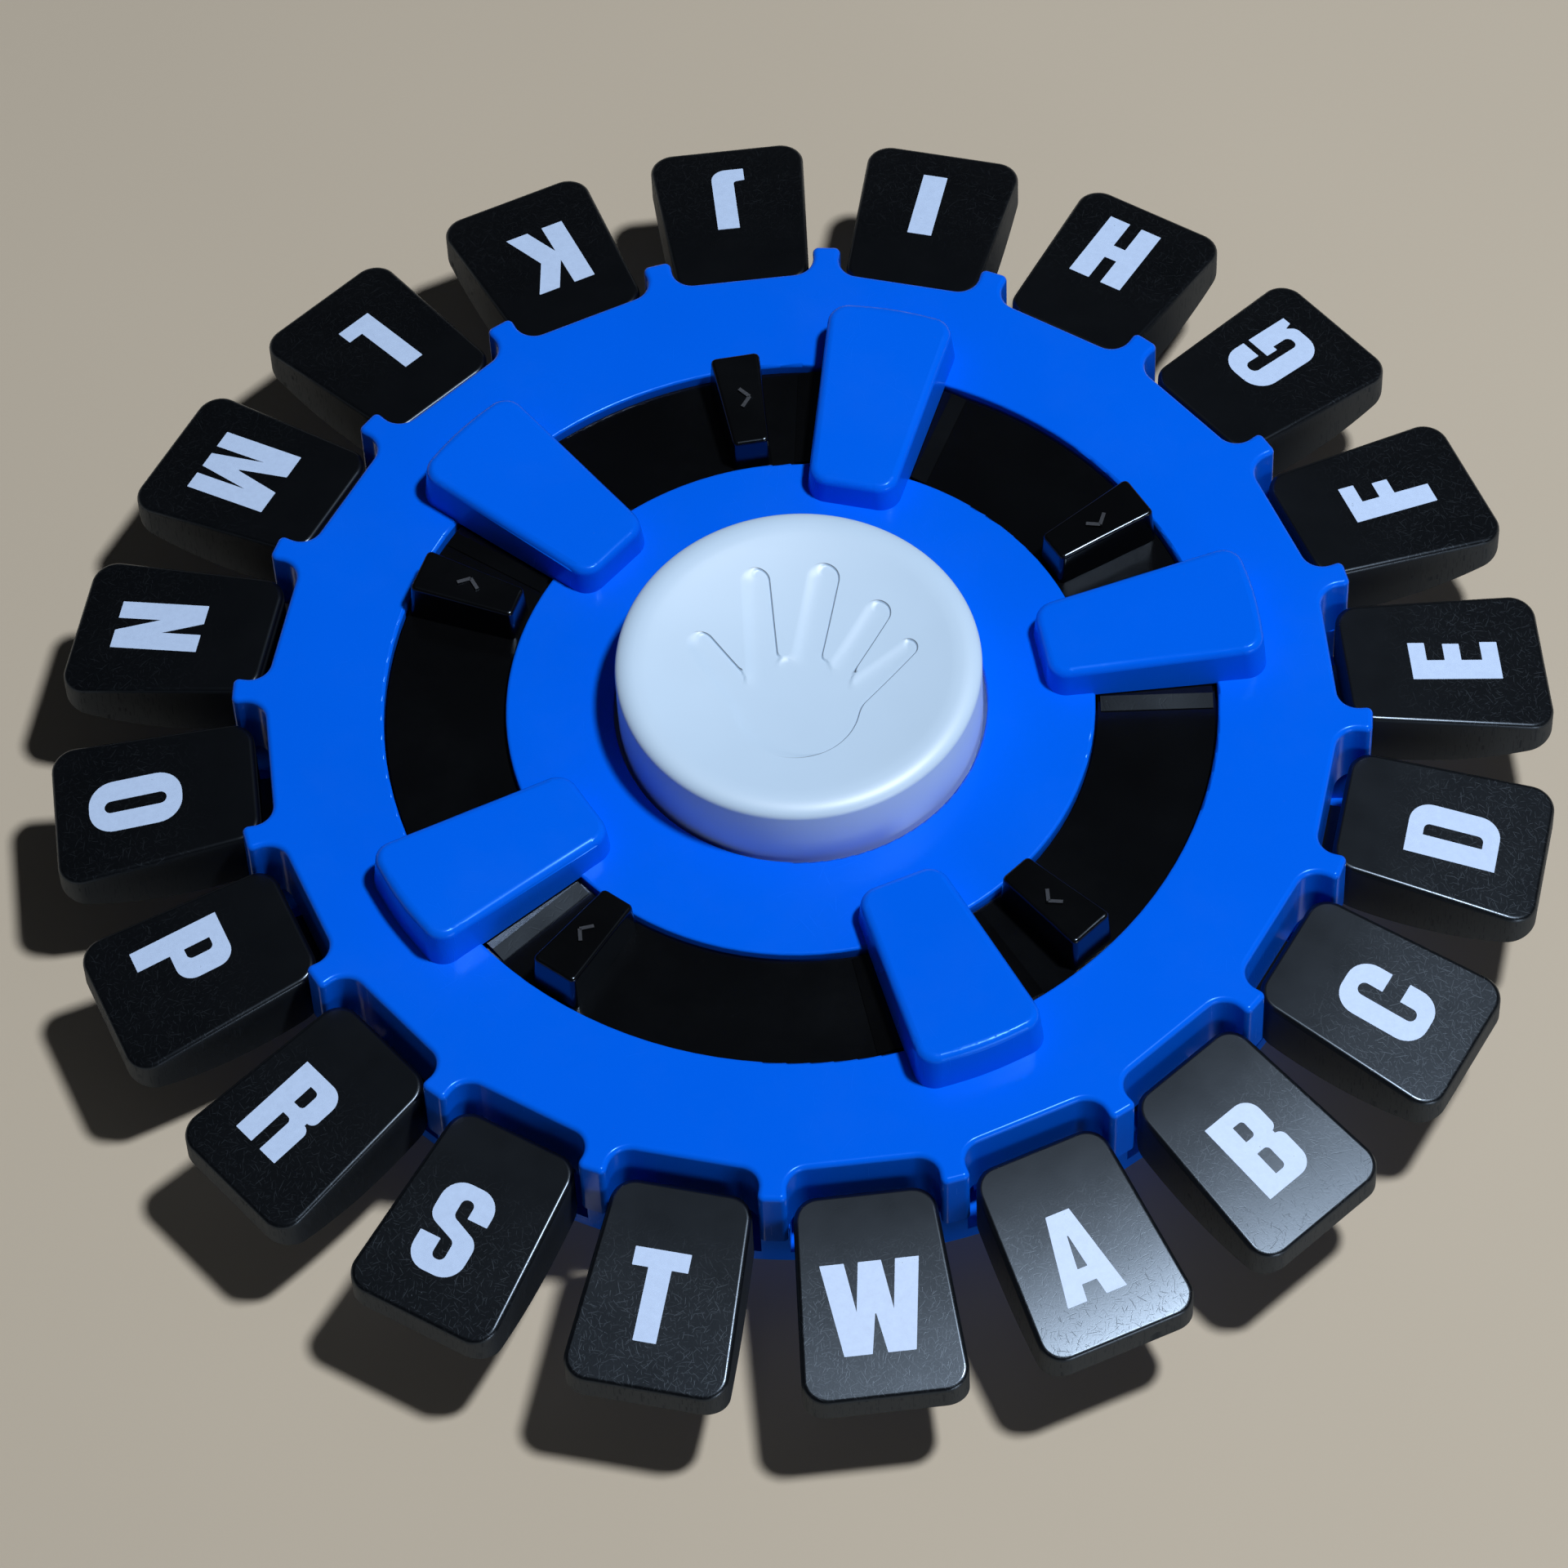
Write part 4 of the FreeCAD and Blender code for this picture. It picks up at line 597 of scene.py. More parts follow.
# ---- letters ----
# Each letter is a list of closed outlines, the first solid and the others holes. A corner is
# (x, y) in mm, with x to the right and y toward the board's centre, and its radius if that isn't CORNER_R.
GLYPHS = {
    "A": [[(0, 0), (3.3, 0), (3.7, 2.8, 0), (6.2, 2.8, 0), (6.6, 0), (10.1, 0), (7.1, 15.0), (3.1, 15.0)],
        [(4.1, 5.3), (5.8, 5.3), (5.0, 11.6)]],
    "B": [[(0, 0), (9.6, 0, 2.9), (9.6, 7.7, 1.5), (8.3, 7.7), (8.3, 8.2), (9.3, 8.2, 1.3), (9.3, 15.0, 2.9),
        (0, 15.0)],
        [(3.7, 2.6), (5.9, 2.6, 0.8), (5.9, 6.9, 0.8), (3.7, 6.9)],
        [(3.7, 9.4), (5.7, 9.4, 0.7), (5.7, 12.5, 0.7), (3.7, 12.5)]],
    "C": [[(9.6, 9.2, 0.15), (9.6, 15.4, 3.8), (0, 15.4, 3.8), (0, 0, 3.8), (9.6, 0, 3.8), (9.6, 6.0, 0.15),
        (6.0, 6.0), (6.0, 2.5, 1.1), (3.7, 2.5, 1.1), (3.7, 12.9, 1.1), (6.0, 12.9, 1.1), (6.0, 9.2)]],
    "D": [[(0, 0), (9.6, 0, 3.6), (9.6, 15.0, 3.6), (0, 15.0)],
        [(3.7, 2.6), (5.9, 2.6, 1.0), (5.9, 12.4, 1.0), (3.7, 12.4)]],
    "E": [[(0, 0), (7.2, 0), (7.2, 2.9), (3.7, 2.9), (3.7, 6.4), (6.9, 6.4), (6.9, 9.2), (3.7, 9.2),
        (3.7, 12.2), (7.1, 12.2), (7.1, 15.0), (0, 15.0)]],
    "F": [[(0, 0), (3.7, 0), (3.7, 6.2), (6.7, 6.2), (6.7, 9.0), (3.7, 9.0), (3.7, 12.2), (7.3, 12.2),
        (7.3, 15.0), (0, 15.0)]],
    "G": [[(9.6, 9.6, 0.15), (9.6, 15.4, 3.8), (0, 15.4, 3.8), (0, 0, 3.8), (6.6, 0, 1.6), (7.6, 1.5),
        (8.0, 0.1), (9.6, 0.1), (9.6, 8.4), (5.1, 8.4), (5.1, 6.1), (6.0, 6.1), (6.0, 2.5, 1.0),
        (3.7, 2.5, 1.0), (3.7, 12.9, 1.1), (6.0, 12.9, 1.1), (6.0, 9.6)]],
    "H": [[(0, 0), (3.7, 0), (3.7, 6.0), (5.9, 6.0), (5.9, 0), (9.6, 0), (9.6, 15.0), (5.9, 15.0),
        (5.9, 9.2), (3.7, 9.2), (3.7, 15.0), (0, 15.0)]],
    "I": [[(0, 0), (4.1, 0), (4.1, 14.6), (0, 14.6)]],
    "J": [[(5.6, 14.6), (1.9, 14.6), (1.9, 3.0, 0.6), (0, 2.8), (0, 0), (5.6, 0, 2.5)]],
    "K": [[(0, 0), (3.7, 0), (3.7, 6.3, 0), (6.3, 0), (10.2, 0), (7.0, 7.9), (10.1, 14.8), (6.4, 14.8),
        (3.7, 8.7, 0), (3.7, 14.8), (0, 14.8)]],
    "L": [[(0, 0), (6.4, 0), (6.4, 3.0), (3.7, 3.0), (3.7, 14.7), (0, 14.7)]],
    "M": [[(0, 0), (3.3, 0), (3.3, 9.6, 0), (4.9, 0), (7.8, 0), (9.4, 9.6, 0), (9.4, 0), (12.6, 0),
        (12.6, 15.0), (8.1, 15.0), (6.3, 6.0), (4.6, 15.0), (0, 15.0)]],
    "N": [[(0, 0), (3.3, 0), (3.3, 7.4, 0), (5.7, 0), (9.2, 0), (9.2, 15.0), (5.8, 15.0), (5.8, 8.1, 0),
        (3.6, 15.0), (0, 15.0)]],
    "O": [[(0, 0, 4.2), (9.5, 0, 4.2), (9.5, 15.6, 4.2), (0, 15.6, 4.2)],
        [(3.7, 2.6, 1.1), (5.9, 2.6, 1.1), (5.9, 13.0, 1.1), (3.7, 13.0, 1.1)]],
    "P": [[(0, 0), (3.7, 0), (3.7, 5.7), (9.4, 5.7, 2.9), (9.4, 15.2, 2.9), (0, 15.2)],
        [(3.7, 8.2), (5.8, 8.2, 0.9), (5.8, 12.7, 0.9), (3.7, 12.7)]],
    "R": [[(0, 0), (3.7, 0), (3.7, 6.8), (5.7, 6.8, 0.8), (5.7, 0), (9.3, 0), (9.3, 7.6, 1.4), (8.0, 7.6),
        (8.0, 8.1), (9.3, 8.1, 1.3), (9.3, 15.2, 2.9), (0, 15.2)],
        [(3.7, 9.1), (5.7, 9.1, 0.8), (5.7, 12.7, 0.8), (3.7, 12.7)]],
    "S": [[(9.3, 10.4, 0.15), (9.3, 15.7, 3.6), (0, 15.7, 3.6), (0, 8.4, 2.4), (5.8, 6.1, 1.1),
        (5.8, 2.5, 1.0), (3.6, 2.5, 1.0), (3.6, 5.8, 0.15), (0, 5.8, 0.15), (0, 0, 3.6), (9.3, 0, 3.6),
        (9.3, 7.5, 2.6), (3.6, 9.9, 1.1), (3.6, 13.2, 1.0), (5.8, 13.2, 1.0), (5.8, 10.4, 0.15)]],
    "T": [[(2.6, 0), (6.3, 0), (6.3, 12.1), (8.9, 12.1), (8.9, 15.2), (0, 15.2), (0, 12.1), (2.6, 12.1)]],
    "W": [[(0, 15.1), (3.8, 15.1), (4.9, 7.0, 0), (6.0, 15.1), (9.6, 15.1), (10.7, 7.0, 0), (11.8, 15.1),
        (15.5, 15.1), (13.4, 0), (9.0, 0), (7.8, 7.0), (6.6, 0), (2.2, 0)]],
}

# Middle of each print, in mm: its distance from the axis and its shift off the key's middle.
PRINT_PLACES = {
    "A": (106.7, -1.3), "B": (106.5, -0.2), "C": (106.5, -0.1), "D": (106.6, -0.35), "E": (106.8, 0.15),
    "F": (106.5, 1.15), "G": (107.7, 1.85), "H": (109.4, 1.6), "I": (108.6, 0.8), "J": (109.2, 0.2),
    "K": (105.1, -0.8), "L": (105.8, -0.6), "M": (106.7, -0.1), "N": (107.6, -0.45), "O": (108.2, -0.05),
    "P": (106.8, -2.9), "R": (106.7, -1.9), "S": (106.7, -1.45), "T": (106.6, -1.1), "W": (107.1, -0.4),
}


def letter_mesh(letter, height):
    """Filled and slightly raised outlines of a letter, centred on its own box, in metres."""
    curve = bpy.data.curves.new("letter_" + letter.lower(), "CURVE")
    curve.dimensions = "2D"
    curve.fill_mode = "BOTH"
    curve.extrude = height
    outlines = [rounded_path(corners) for corners in GLYPHS[letter]]
    wide = [point.x for point in outlines[0]]
    tall = [point.y for point in outlines[0]]
    middle = Vector(((min(wide) + max(wide)) / 2, (min(tall) + max(tall)) / 2))
    for points in outlines:
        spline = curve.splines.new("POLY")
        spline.points.add(len(points) - 1)
        for target, point in zip(spline.points, points):
            target.co = ((point.x - middle.x) * MM, (point.y - middle.y) * MM, 0, 1)
        spline.use_cyclic_u = True
    carrier = bpy.data.objects.new("carrier", curve)
    mesh = bpy.data.meshes.new_from_object(carrier)
    bpy.data.objects.remove(carrier)
    bpy.data.curves.remove(curve)
    return mesh


def print_letter(letter, material, sizes):
    """Lays a letter on its key's sloping top and makes it ride the key."""
    out, aside = PRINT_PLACES[letter]
    out *= MM
    lean = sizes.letter_fall
    height = sizes.key_top - (out - sizes.key_inner) * math.tan(lean)
    mesh = letter_mesh(letter, sizes.print_height)
    place = (Matrix.Rotation(key_angle(letter), 4, "Z")
             @ Matrix.Translation((out, aside * MM, height))
             @ Matrix.Rotation(lean, 4, "Y")
             @ Matrix.Rotation(math.pi / 2, 4, "Z"))
    mesh.transform(place)
    piece = object_from("print_" + letter.lower(), mesh, material)
    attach(piece, "key_" + letter.lower())


# ---- arrow tabs ----
# Angles are in degrees here.
TAB_ANGLES = (102.1, 35.5, -43.0, -123.1, 162.1)
MARK_LENGTH = 2.3 * MM
MARK_HALF_WIDTH = 0.3 * MM
MARK_THICK = 0.06 * MM
MARK_HALF_ANGLE = 50


def tab_mark_mesh(sizes):
    """Two thin strokes on the raised arrow of each tab, whose pale grey is a painted highlight."""
    plan = ((0, -1), (1, -1), (1, 1), (0, 1))
    heights = (sizes.mark_height - MARK_THICK, sizes.mark_height)
    corners = [(x * MARK_LENGTH, y * MARK_HALF_WIDTH, z) for z in heights for x, y in plan]
    sides = [(3, 2, 1, 0), (4, 5, 6, 7), (0, 1, 5, 4), (1, 2, 6, 5), (2, 3, 7, 6), (3, 0, 4, 7)]
    verts, faces = [], []
    shift = Matrix.Translation((sizes.mark_reach, -MARK_LENGTH / 2, 0))
    for tab in TAB_ANGLES:
        place = Matrix.Rotation(math.radians(tab), 4, "Z")
        for side in (-1, 1):
            turn = Matrix.Rotation(math.radians(90 + side * MARK_HALF_ANGLE), 4, "Z")
            first = len(verts)
            for corner in corners:
                spot = shift @ (turn @ Vector(corner))
                spot.z += (spot.x - sizes.mark_reach) * sizes.mark_rise
                verts.append(place @ spot)
            faces += [tuple(first + i for i in face) for face in sides]
    mesh = bpy.data.meshes.new("tab_marks")
    mesh.from_pydata(verts, [], faces)
    return mesh


# ---- timer button ----
# Lengths are in mm here. A bar is (x, y, radius) at the palm and at its tip.
PALM = (-0.1, -7.5, 10.3)
BARS = (((-7.5, -7.5, 3.2), (-16.0, 3.5, 2.45)),
        ((-5.4, -4.5, 2.9), (-7.8, 15.9, 2.45)),
        ((0.0, -5.0, 2.5), (3.05, 16.8, 2.75)),
        ((3.6, -5.5, 2.3), (11.95, 10.45, 2.4)),
        ((6.6, -7.0, 3.1), (17.2, 3.75, 1.75)))
BLEND = 1.0
# The hand's edge is steep where it faces within STEEP_HALF of STEEP_TOWARD, soft past SOFT_HALF.
STEEP_TOWARD = math.radians(8)
STEEP_HALF = math.radians(68)
SOFT_HALF = math.radians(118)
HAND_LEVELS = (0.1, 0.0, -0.1, -0.2, -0.3, -0.5, -0.75, -1.05, -1.4)
HAND_STEP = 0.3
FEWEST_STEPS = 9
MOST_STEPS = 3000
PULLS = 3  # corrections toward a contour line at each of its points
SKIN_STEP = 0.95
SKIN_CLEAR = 0.4  # from the field of points to the nearest contour line
# PALM_FADE and the ROOT values shape the painted shadow along the hand's edge.
PALM_FADE = 0.9  # the crease fades over this distance outside the palm, where the fingers start
ROOT_SLOPE, ROOT_DROP, ROOT_FADE = 0.2, 4.4, 2.0  # and above this slanting line
SHARP_ANGLE = math.radians(32)
ON_LINE = 0.02
TINY = 1e-7

BUTTON_R = 29.4
BUTTON_TOP = 46.5
DISH_DEPTH = 2.6
DISH_R = 25.4
CREST_R = 26.6
ROLL = 1.7
SPRING_COILS = 5
COIL_STEPS = 40
WIRE_SIDES = 12
TURNS = 180
# Pairs of radius and height down the button's side, round its flange and through its hollow.
BUTTON_BELOW = ((29.4, 31.3), (31.7, 31.3), (31.7, 29.1), (27.2, 29.1), (27.2, 41.7), (14.4, 41.7),
                (14.4, 40.1), (13.2, 40.1), (13.2, 41.7), (4.0, 41.7), (4.0, 28.4))


def smooth_union(first, second):
    """The lesser of two distances, with a soft corner where they meet."""
    share = max(BLEND - abs(first - second), 0.0) / BLEND
    return min(first, second) - share * share * BLEND / 4


def bar_distance(x, y, bar):
    """Distance from a point to a tapering bar with round ends."""
    (ax, ay, start), (bx, by, end) = bar
    dx, dy = bx - ax, by - ay
    along = ((x - ax) * dx + (y - ay) * dy) / (dx * dx + dy * dy)
    along = min(max(along, 0.0), 1.0)
    return math.hypot(x - ax - along * dx, y - ay - along * dy) - start - along * (end - start)


def hand_distance(x, y):
    """Distance from a point to the hand's edge, negative inside."""
    px, py, radius = PALM
    distance = math.hypot(x - px, y - py) - radius
    for bar in BARS:
        distance = smooth_union(distance, bar_distance(x, y, bar))
    return distance


def outward(x, y):
    """Direction away from the hand at a point."""
    small = 0.01
    slope = Vector((hand_distance(x + small, y) - hand_distance(x - small, y),
                    hand_distance(x, y + small) - hand_distance(x, y - small)))
    return slope.normalized() if slope.length else Vector((1, 0))


def contour(level):
    """Points along the line at one distance from the hand's edge."""
    place = Vector((PALM[0], PALM[1] - PALM[2] - level))
    points = []
    for _ in range(MOST_STEPS):
        for _ in range(PULLS):
            place = place - outward(*place) * (hand_distance(*place) - level)
        if len(points) > FEWEST_STEPS and (place - points[0]).length < HAND_STEP * 0.9:
            return points
        points.append(place)
        away = outward(*place)
        place = place + Vector((-away.y, away.x)) * HAND_STEP
    raise ValueError("the hand's outline doesn't close")


def eased(share):
    """A share kept between 0 and 1, with soft ends."""
    share = min(max(share, 0.0), 1.0)
    return share * share * (3 - 2 * share)


def softness(x, y):
    """0 where the hand's edge is steep, on its right and upper sides, 1 where it is soft."""
    away = outward(x, y)
    off = math.atan2(away.y, away.x) - STEEP_TOWARD
    return eased((abs(math.remainder(off, 2 * math.pi)) - STEEP_HALF) / (SOFT_HALF - STEEP_HALF))


def edge_shadow_depth(x, y):
    """How dark the painted shadow along the hand's edge is: clear on the steep sides, where the steep wall
    would shade the hollow, and gone between the fingers.
    """
    px, py, radius = PALM
    near_palm = eased((radius + PALM_FADE - math.hypot(x - px, y - py)) / PALM_FADE)
    between = near_palm * eased((y - x * ROOT_SLOPE + ROOT_DROP) / ROOT_FADE)
    return (1.0 - softness(x, y)) * (1.0 - between)


def edge_width(x, y, sizes):
    """Width of the hand's edge."""
    return (sizes.hand_wall + softness(x, y) * (sizes.hand_slope - sizes.hand_wall)) / MM


def dish_height(radius):
    """Height of the plain dish at a distance from the axis."""
    bowl = (DISH_R ** 2 + DISH_DEPTH ** 2) / (2 * DISH_DEPTH)
    return BUTTON_TOP - DISH_DEPTH + bowl - math.sqrt(bowl ** 2 - radius ** 2)


def skin_height(x, y, sizes):
    """Height of the button's top at a point: the dish with the hand sunk in it."""
    height = dish_height(math.hypot(x, y))
    inside = -hand_distance(x, y)
    if inside <= 0:
        return height
    return height - sizes.hand_depth / MM * eased(inside / edge_width(x, y, sizes))


def skin_points(outer):
    """Points over the dish: the hand's contour lines, an even field and the outer circle."""
    points, edges = [], []
    for level in HAND_LEVELS:
        loop = contour(level)
        first = len(points)
        edges += [(first + i, first + (i + 1) % len(loop)) for i in range(len(loop))]
        points += loop
    rows = int(outer / SKIN_STEP) + 1
    for row in range(-rows, rows + 1):
        for column in range(-rows, rows + 1):
            place = Vector(((column + row % 2 / 2) * SKIN_STEP, row * SKIN_STEP * math.sqrt(3) / 2))
            distance = hand_distance(*place)
            near_lines = HAND_LEVELS[-1] - SKIN_CLEAR < distance < HAND_LEVELS[0] + SKIN_CLEAR
            if place.length < outer - SKIN_STEP * 0.6 and not near_lines:
                points.append(place)
    first = len(points)
    edges += [(first + i, first + (i + 1) % TURNS) for i in range(TURNS)]
    points += [circle_point(outer, i) for i in range(TURNS)]
    return points, edges


def circle_point(radius, turn):
    """One of the points around a circle."""
    share = 2 * math.pi * turn / TURNS
    return Vector((radius * math.cos(share), radius * math.sin(share)))


def rim_profile(inner):
    """Radius and height pairs from the dish's edge over the soft rim to the side."""
    span = CREST_R - inner
    low = dish_height(inner)
    pairs = []
    for step in range(1, ARC_STEPS):
        rest = 1 - step / ARC_STEPS
        pairs.append((inner + span * step / ARC_STEPS, BUTTON_TOP - (BUTTON_TOP - low) * rest ** 2))
    for step in range(ARC_STEPS + 1):
        turn = math.pi / 2 * step / ARC_STEPS
        radius = CREST_R + (BUTTON_R - CREST_R) * math.sin(turn)
        pairs.append((radius, BUTTON_TOP - ROLL * (1 - math.cos(turn))))
    return pairs


def button_mesh(sizes):
    """The whole button as one closed mesh."""
    inner = (DISH_R ** 2 + DISH_DEPTH ** 2) / CREST_R
    points, edges = skin_points(inner)
    flat, _, faces, origins, _, _ = delaunay_2d_cdt(points, edges, [], 0, TINY)
    verts = [Vector((place.x, place.y, skin_height(*place, sizes))) for place in flat]
    places = {source: index for index, sources in enumerate(origins) for source in sources}
    ring = [places[len(points) - TURNS + i] for i in range(TURNS)]
    faces = [tuple(face) for face in faces]
    for radius, height in rim_profile(inner) + list(BUTTON_BELOW):
        first = len(verts)
        verts += [Vector((*circle_point(radius, i), height)) for i in range(TURNS)]
        new_ring = [first + i for i in range(TURNS)]
        for i in range(TURNS):
            after = (i + 1) % TURNS
            faces.append((ring[i], new_ring[i], new_ring[after], ring[after]))
        ring = new_ring
    faces.append(tuple(reversed(ring)))
    mesh = bpy.data.meshes.new("timer_button")
    mesh.from_pydata([place * MM for place in verts], [], faces)
    mesh.polygons.foreach_set("use_smooth", [True] * len(mesh.polygons))
    mesh.set_sharp_from_angle(angle=SHARP_ANGLE)
    # Marks the hand's edge line, where a painted shadow darkens the button's colour.
    edge_shadow = mesh.attributes.new("edge_shadow", "FLOAT", "POINT")
    shares = [0.0] * len(verts)
    for index, place in enumerate(flat):
        if abs(hand_distance(*place)) < ON_LINE:
            shares[index] = edge_shadow_depth(*place)
    edge_shadow.data.foreach_set("value", shares)
    return mesh


def coil_mesh(low, high, radius, wire, coils):
    """A coil spring's round wire, closed at both ends."""
    sides, steps = WIRE_SIDES, COIL_STEPS * coils
    verts, faces = [], []
    for step in range(steps + 1):
        share = step / steps
        turn = 2 * math.pi * coils * share
        out = Vector((math.cos(turn), math.sin(turn), 0))
        centre = out * radius + Vector((0, 0, low + wire + (high - low - 2 * wire) * share))
        for side in range(sides):
            around = 2 * math.pi * side / sides
            verts.append(centre + (out * math.cos(around) + Vector((0, 0, 1)) * math.sin(around)) * wire)
    for step in range(steps):
        for side in range(sides):
            here = step * sides
            after = (side + 1) % sides
            faces.append((here + side, here + after, here + sides + after, here + sides + side))
    faces.append(tuple(reversed(range(sides))))
    faces.append(tuple(steps * sides + side for side in range(sides)))
    mesh = bpy.data.meshes.new("spring_wire")
    mesh.from_pydata(verts, [], faces)
    mesh.polygons.foreach_set("use_smooth", [len(face) == 4 for face in faces])
    return mesh


# ---- operators ----
class BOARD_OT_shells(bpy.types.Operator):
    """Gives the cover, the base and the battery door their blue plastic"""

    bl_idname = "board.shells"
    bl_label = "Shells"

    def execute(self, context):
        colours, _, _ = settings()
        paint("top_cover", blue_plastic("Cover blue", colours.shell, 0.22))
        paint("base_shell", blue_plastic("Base blue", colours.shell, 0.28))
        paint("battery_door", blue_plastic("Door blue", colours.shell, 0.30))
        return {"FINISHED"}


class BOARD_OT_keys(bpy.types.Operator):
    """Dresses the twenty letter keys and prints their letters"""

    bl_idname = "board.keys"
    bl_label = "Letter keys"

    def execute(self, context):
        colours, sizes, _ = settings()
        plastic = key_plastic(colours.keys, sizes)
        ink = letter_print(colours.legend)
        for letter in LETTERS:
            paint("key_" + letter.lower(), plastic)
            print_letter(letter, ink, sizes)
        return {"FINISHED"}


class BOARD_OT_ring(bpy.types.Operator):
    """Dresses the reset ring with its arrow tabs"""

    bl_idname = "board.ring"
    bl_label = "Reset ring"

    def execute(self, context):
        colours, sizes, _ = settings()
        paint("reset_ring", ring_plastic(colours.ring))
        # The strokes' pale grey is a painted highlight of the lamp on the arrows.
        grey = plain_moulding("Painted arrow highlight", colours.mark, 0.4, 0.3)
        marks = object_from("tab_marks", tab_mark_mesh(sizes), grey)
        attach(marks, "reset_ring")
        return {"FINISHED"}


class BOARD_OT_button(bpy.types.Operator):
    """Dresses the timer button and its spring"""

    bl_idname = "board.button"
    bl_label = "Timer button"

    def execute(self, context):
        colours, sizes, _ = settings()
        button = object_from("timer_button", button_mesh(sizes), button_plastic(colours.button))
        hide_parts("centre_button")
        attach(button, "centre_button")
        low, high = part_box("button_spring")
        coil = coil_mesh(low[2], high[2], sizes.spring_radius, sizes.spring_wire, SPRING_COILS)
        steel = plated_metal("Spring wire", (0.55, 0.55, 0.56), 0.3, (900, 900, 300))
        spring = object_from("spring_coil", coil, steel)
        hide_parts("button_spring")
        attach(spring, "centre_button")
        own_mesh(spring)
        return {"FINISHED"}


class BOARD_OT_inner_works(bpy.types.Operator):
    """Dresses the pieces under and inside the board"""

    bl_idname = "board.inner_works"
    bl_label = "Feet and inner works"

    def execute(self, context):
        colours, _, _ = settings()
        zinc = plated_metal("Zinc plate", (0.60, 0.61, 0.63), 0.32, (700, 700, 2500))
        mask = board_mask()
        black = plain_moulding("Component black", (0.015, 0.015, 0.017), 0.5, 0.3)
        paint("rubber_feet", foot_rubber(colours.rubber))
        paint("battery_contacts", plated_metal("Contact plate", (0.72, 0.70, 0.62), 0.25, (900, 300, 900)))
        paint("battery_cells", banded_wrap())
        for material, nodes in ((zinc, ("case_screws", "door_screw", "power_switch")),
                                (mask, ("circuit_board", "switch_board")),
                                (black, ("board_parts", "tact_switch", "speaker", "power_slider"))):
            for node in nodes:
                paint(node, material)
        return {"FINISHED"}


FLOOR_HALF = 2.5
LAMP_PLACE = (0.465, -0.05, 1.435)
LAMP_SIZE = 0.15
FILL_PLACE = (1.0, -1.2, 0.26)
FILL_SIZE = 0.6
LAMP_AIM = (0, 0, 0.03)
CAMERA_AIM = (-0.0033, -0.01534, 0.034)
SENSOR_WIDTH = 36.0
SKY_COLOUR = (0.93, 0.96, 1.0)
SKY_FROM = 0.05  # height where the sky's light starts to fall, as a share of its radius
SKY_TO = 0.40


def area_lamp(name, place, size, power):
    """A soft lamp that looks at the board."""
    lamp = bpy.data.lights.new(name, "AREA")
    lamp.shape = "DISK"
    lamp.size = size
    lamp.energy = power
    holder = bpy.data.objects.new(name, lamp)
    holder.location = place
    holder.rotation_euler = (Vector(LAMP_AIM) - Vector(place)).to_track_quat("-Z", "Y").to_euler()
    bpy.context.scene.collection.objects.link(holder)


def room_light(stage):
    """A soft room: light near the floor, dim overhead."""
    world = bpy.data.worlds.new("Room")
    world.use_nodes = True
    tree = world.node_tree
    direction = tree.nodes.new("ShaderNodeTexCoord").outputs["Generated"]
    height = add_node(tree, "ShaderNodeSeparateXYZ", Vector=direction).outputs[2]
    strength = ranged(tree, height, SKY_FROM, SKY_TO, stage.sky_low, stage.sky_high)
    background = tree.nodes["Background"]
    background.inputs["Color"].default_value = rgba(SKY_COLOUR)
    tree.links.new(strength, background.inputs["Strength"])
    return world


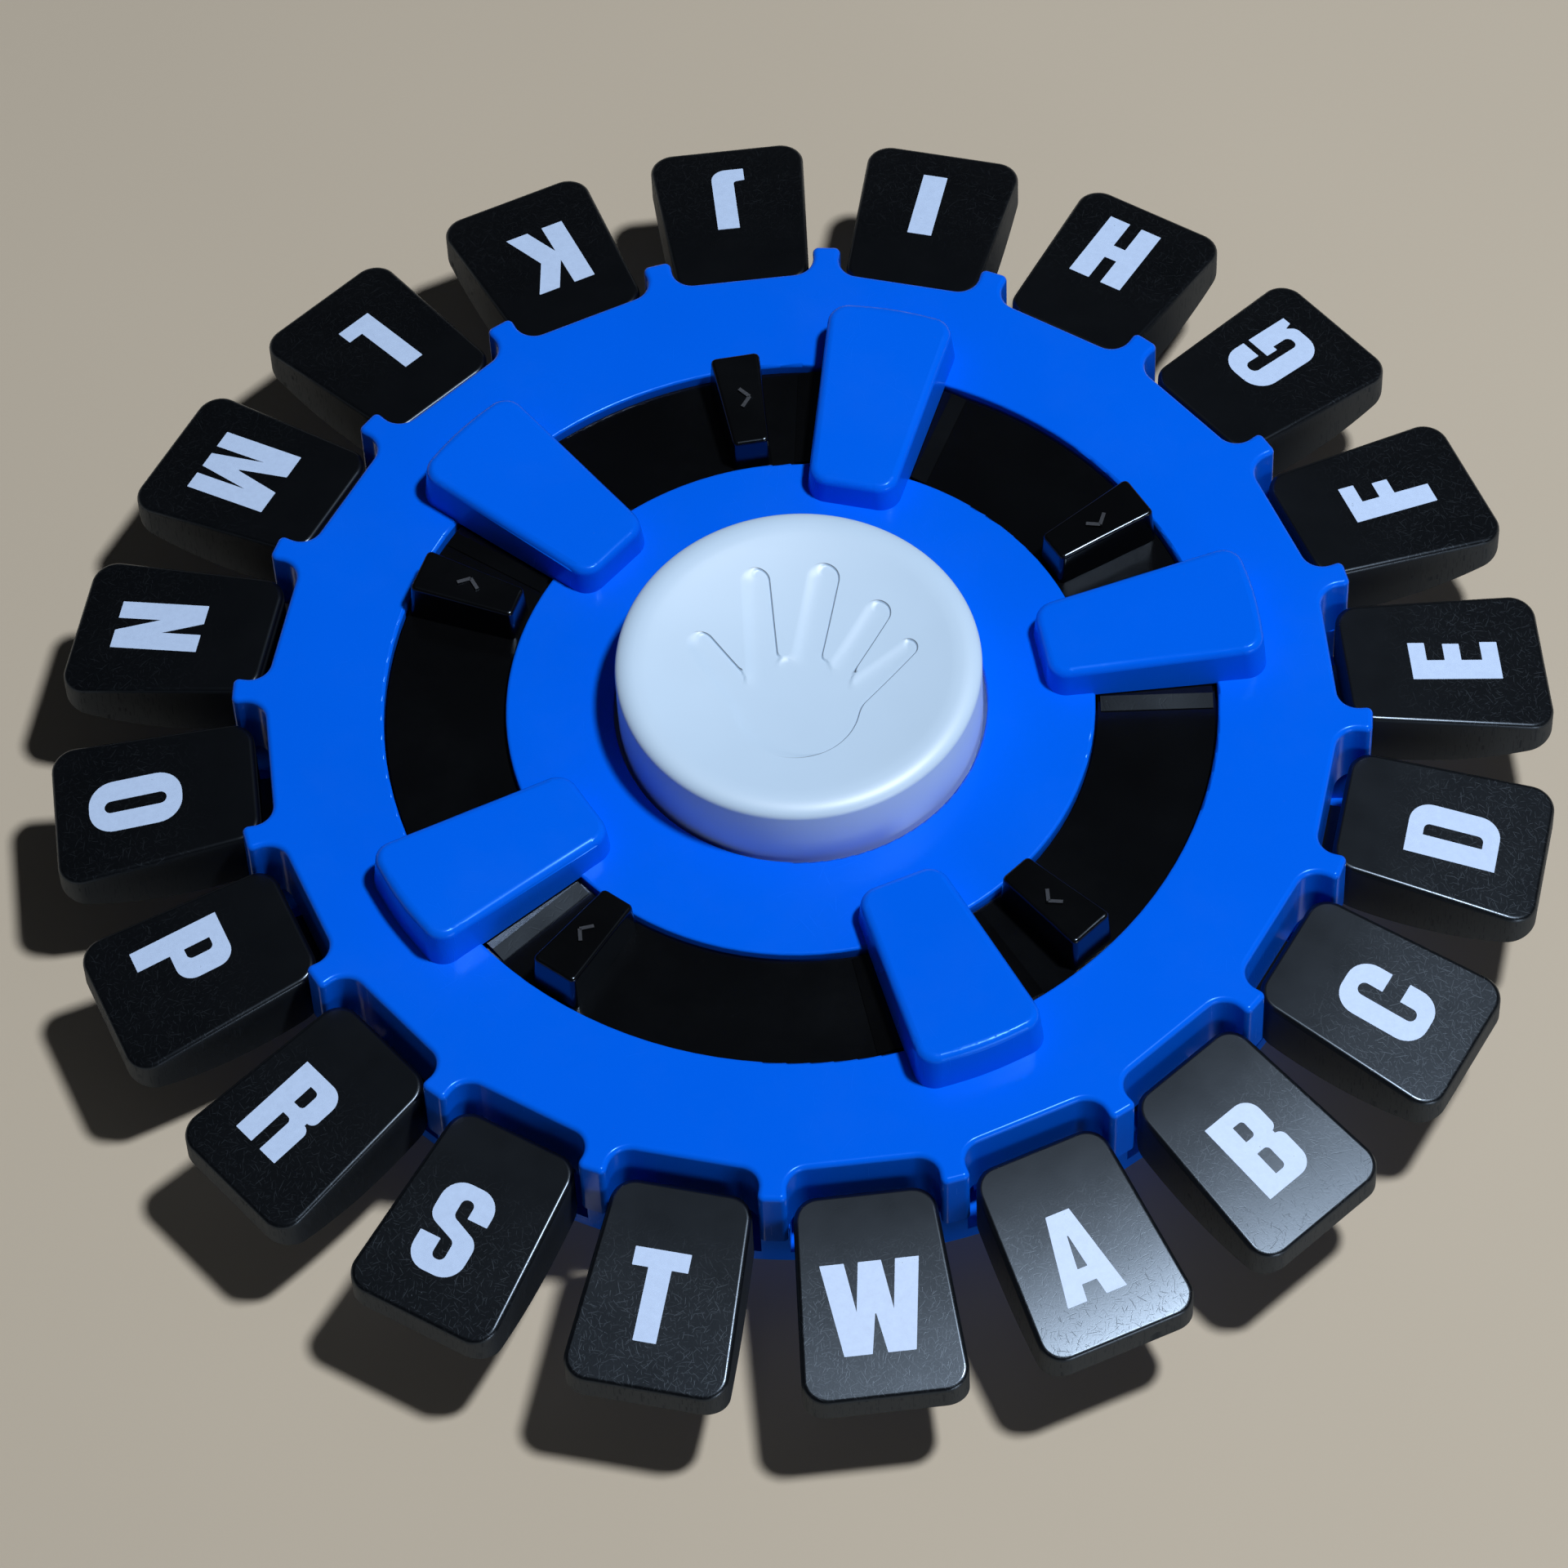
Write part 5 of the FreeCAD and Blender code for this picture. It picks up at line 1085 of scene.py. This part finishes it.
class BOARD_OT_stage(bpy.types.Operator):
    """Lays the floor, hangs the lamps and places the camera"""

    bl_idname = "board.stage"
    bl_label = "Stage"

    def execute(self, context):
        _, _, stage = settings()
        scene = context.scene
        mesh = bpy.data.meshes.new("floor")
        far = FLOOR_HALF
        corners = ((-far, -far, 0), (far, -far, 0), (far, far, 0), (-far, far, 0))
        mesh.from_pydata(corners, [], [(0, 1, 2, 3)])
        object_from("floor", mesh, floor_paint(stage.floor))

        scene.world = room_light(stage)
        area_lamp("key_lamp", LAMP_PLACE, LAMP_SIZE, stage.key_power)
        area_lamp("front_fill", FILL_PLACE, FILL_SIZE, stage.fill_power)

        turn = Matrix.Rotation(stage.azimuth, 3, "Z")
        toward = turn @ Vector((0, -math.cos(stage.elevation), math.sin(stage.elevation)))
        level = turn @ Vector((1, 0, 0))
        upright = toward.cross(level)
        right = level * math.cos(stage.roll) + upright * math.sin(stage.roll)
        up = upright * math.cos(stage.roll) - level * math.sin(stage.roll)
        aim = turn @ Vector(CAMERA_AIM)
        data = bpy.data.cameras.new("camera")
        data.lens = stage.focal
        data.sensor_width = SENSOR_WIDTH
        camera = bpy.data.objects.new("camera", data)
        axes = Matrix((right, up, toward)).transposed().to_4x4()
        camera.matrix_world = Matrix.Translation(aim + toward * stage.distance) @ axes
        scene.collection.objects.link(camera)
        scene.camera = camera
        scene.view_settings.view_transform = "Standard"
        return {"FINISHED"}


class BOARD_PT_panel(bpy.types.Panel):
    """Buttons that dress the board, in the order they are run"""

    bl_idname = "BOARD_PT_panel"
    bl_label = "Game Board"
    bl_space_type = "VIEW_3D"
    bl_region_type = "UI"
    bl_category = "Game Board"

    def draw(self, context):
        for operator in OPERATORS:
            self.layout.operator(operator.bl_idname)
        for group in settings():
            box = self.layout.box()
            for name in group.bl_rna.properties.keys():
                if name not in ("rna_type", "name"):
                    box.prop(group, name)


OPERATORS = (BOARD_OT_shells, BOARD_OT_keys, BOARD_OT_ring, BOARD_OT_button, BOARD_OT_inner_works,
             BOARD_OT_stage)
CLASSES = (*SETTINGS.values(), *OPERATORS, BOARD_PT_panel)


def register():
    """Registers the classes and hangs the settings on the scene."""
    for item in CLASSES:
        bpy.utils.register_class(item)
    for name, kind in SETTINGS.items():
        setattr(bpy.types.Scene, name, PointerProperty(type=kind))


def unregister():
    """Takes the settings and classes away again."""
    for name in SETTINGS:
        delattr(bpy.types.Scene, name)
    for item in reversed(CLASSES):
        bpy.utils.unregister_class(item)


def main():
    """Runs every operator in order."""
    register()
    for name in ("shells", "keys", "ring", "button", "inner_works", "stage"):
        getattr(bpy.ops.board, name)()


if __name__ == "__main__":
    main()
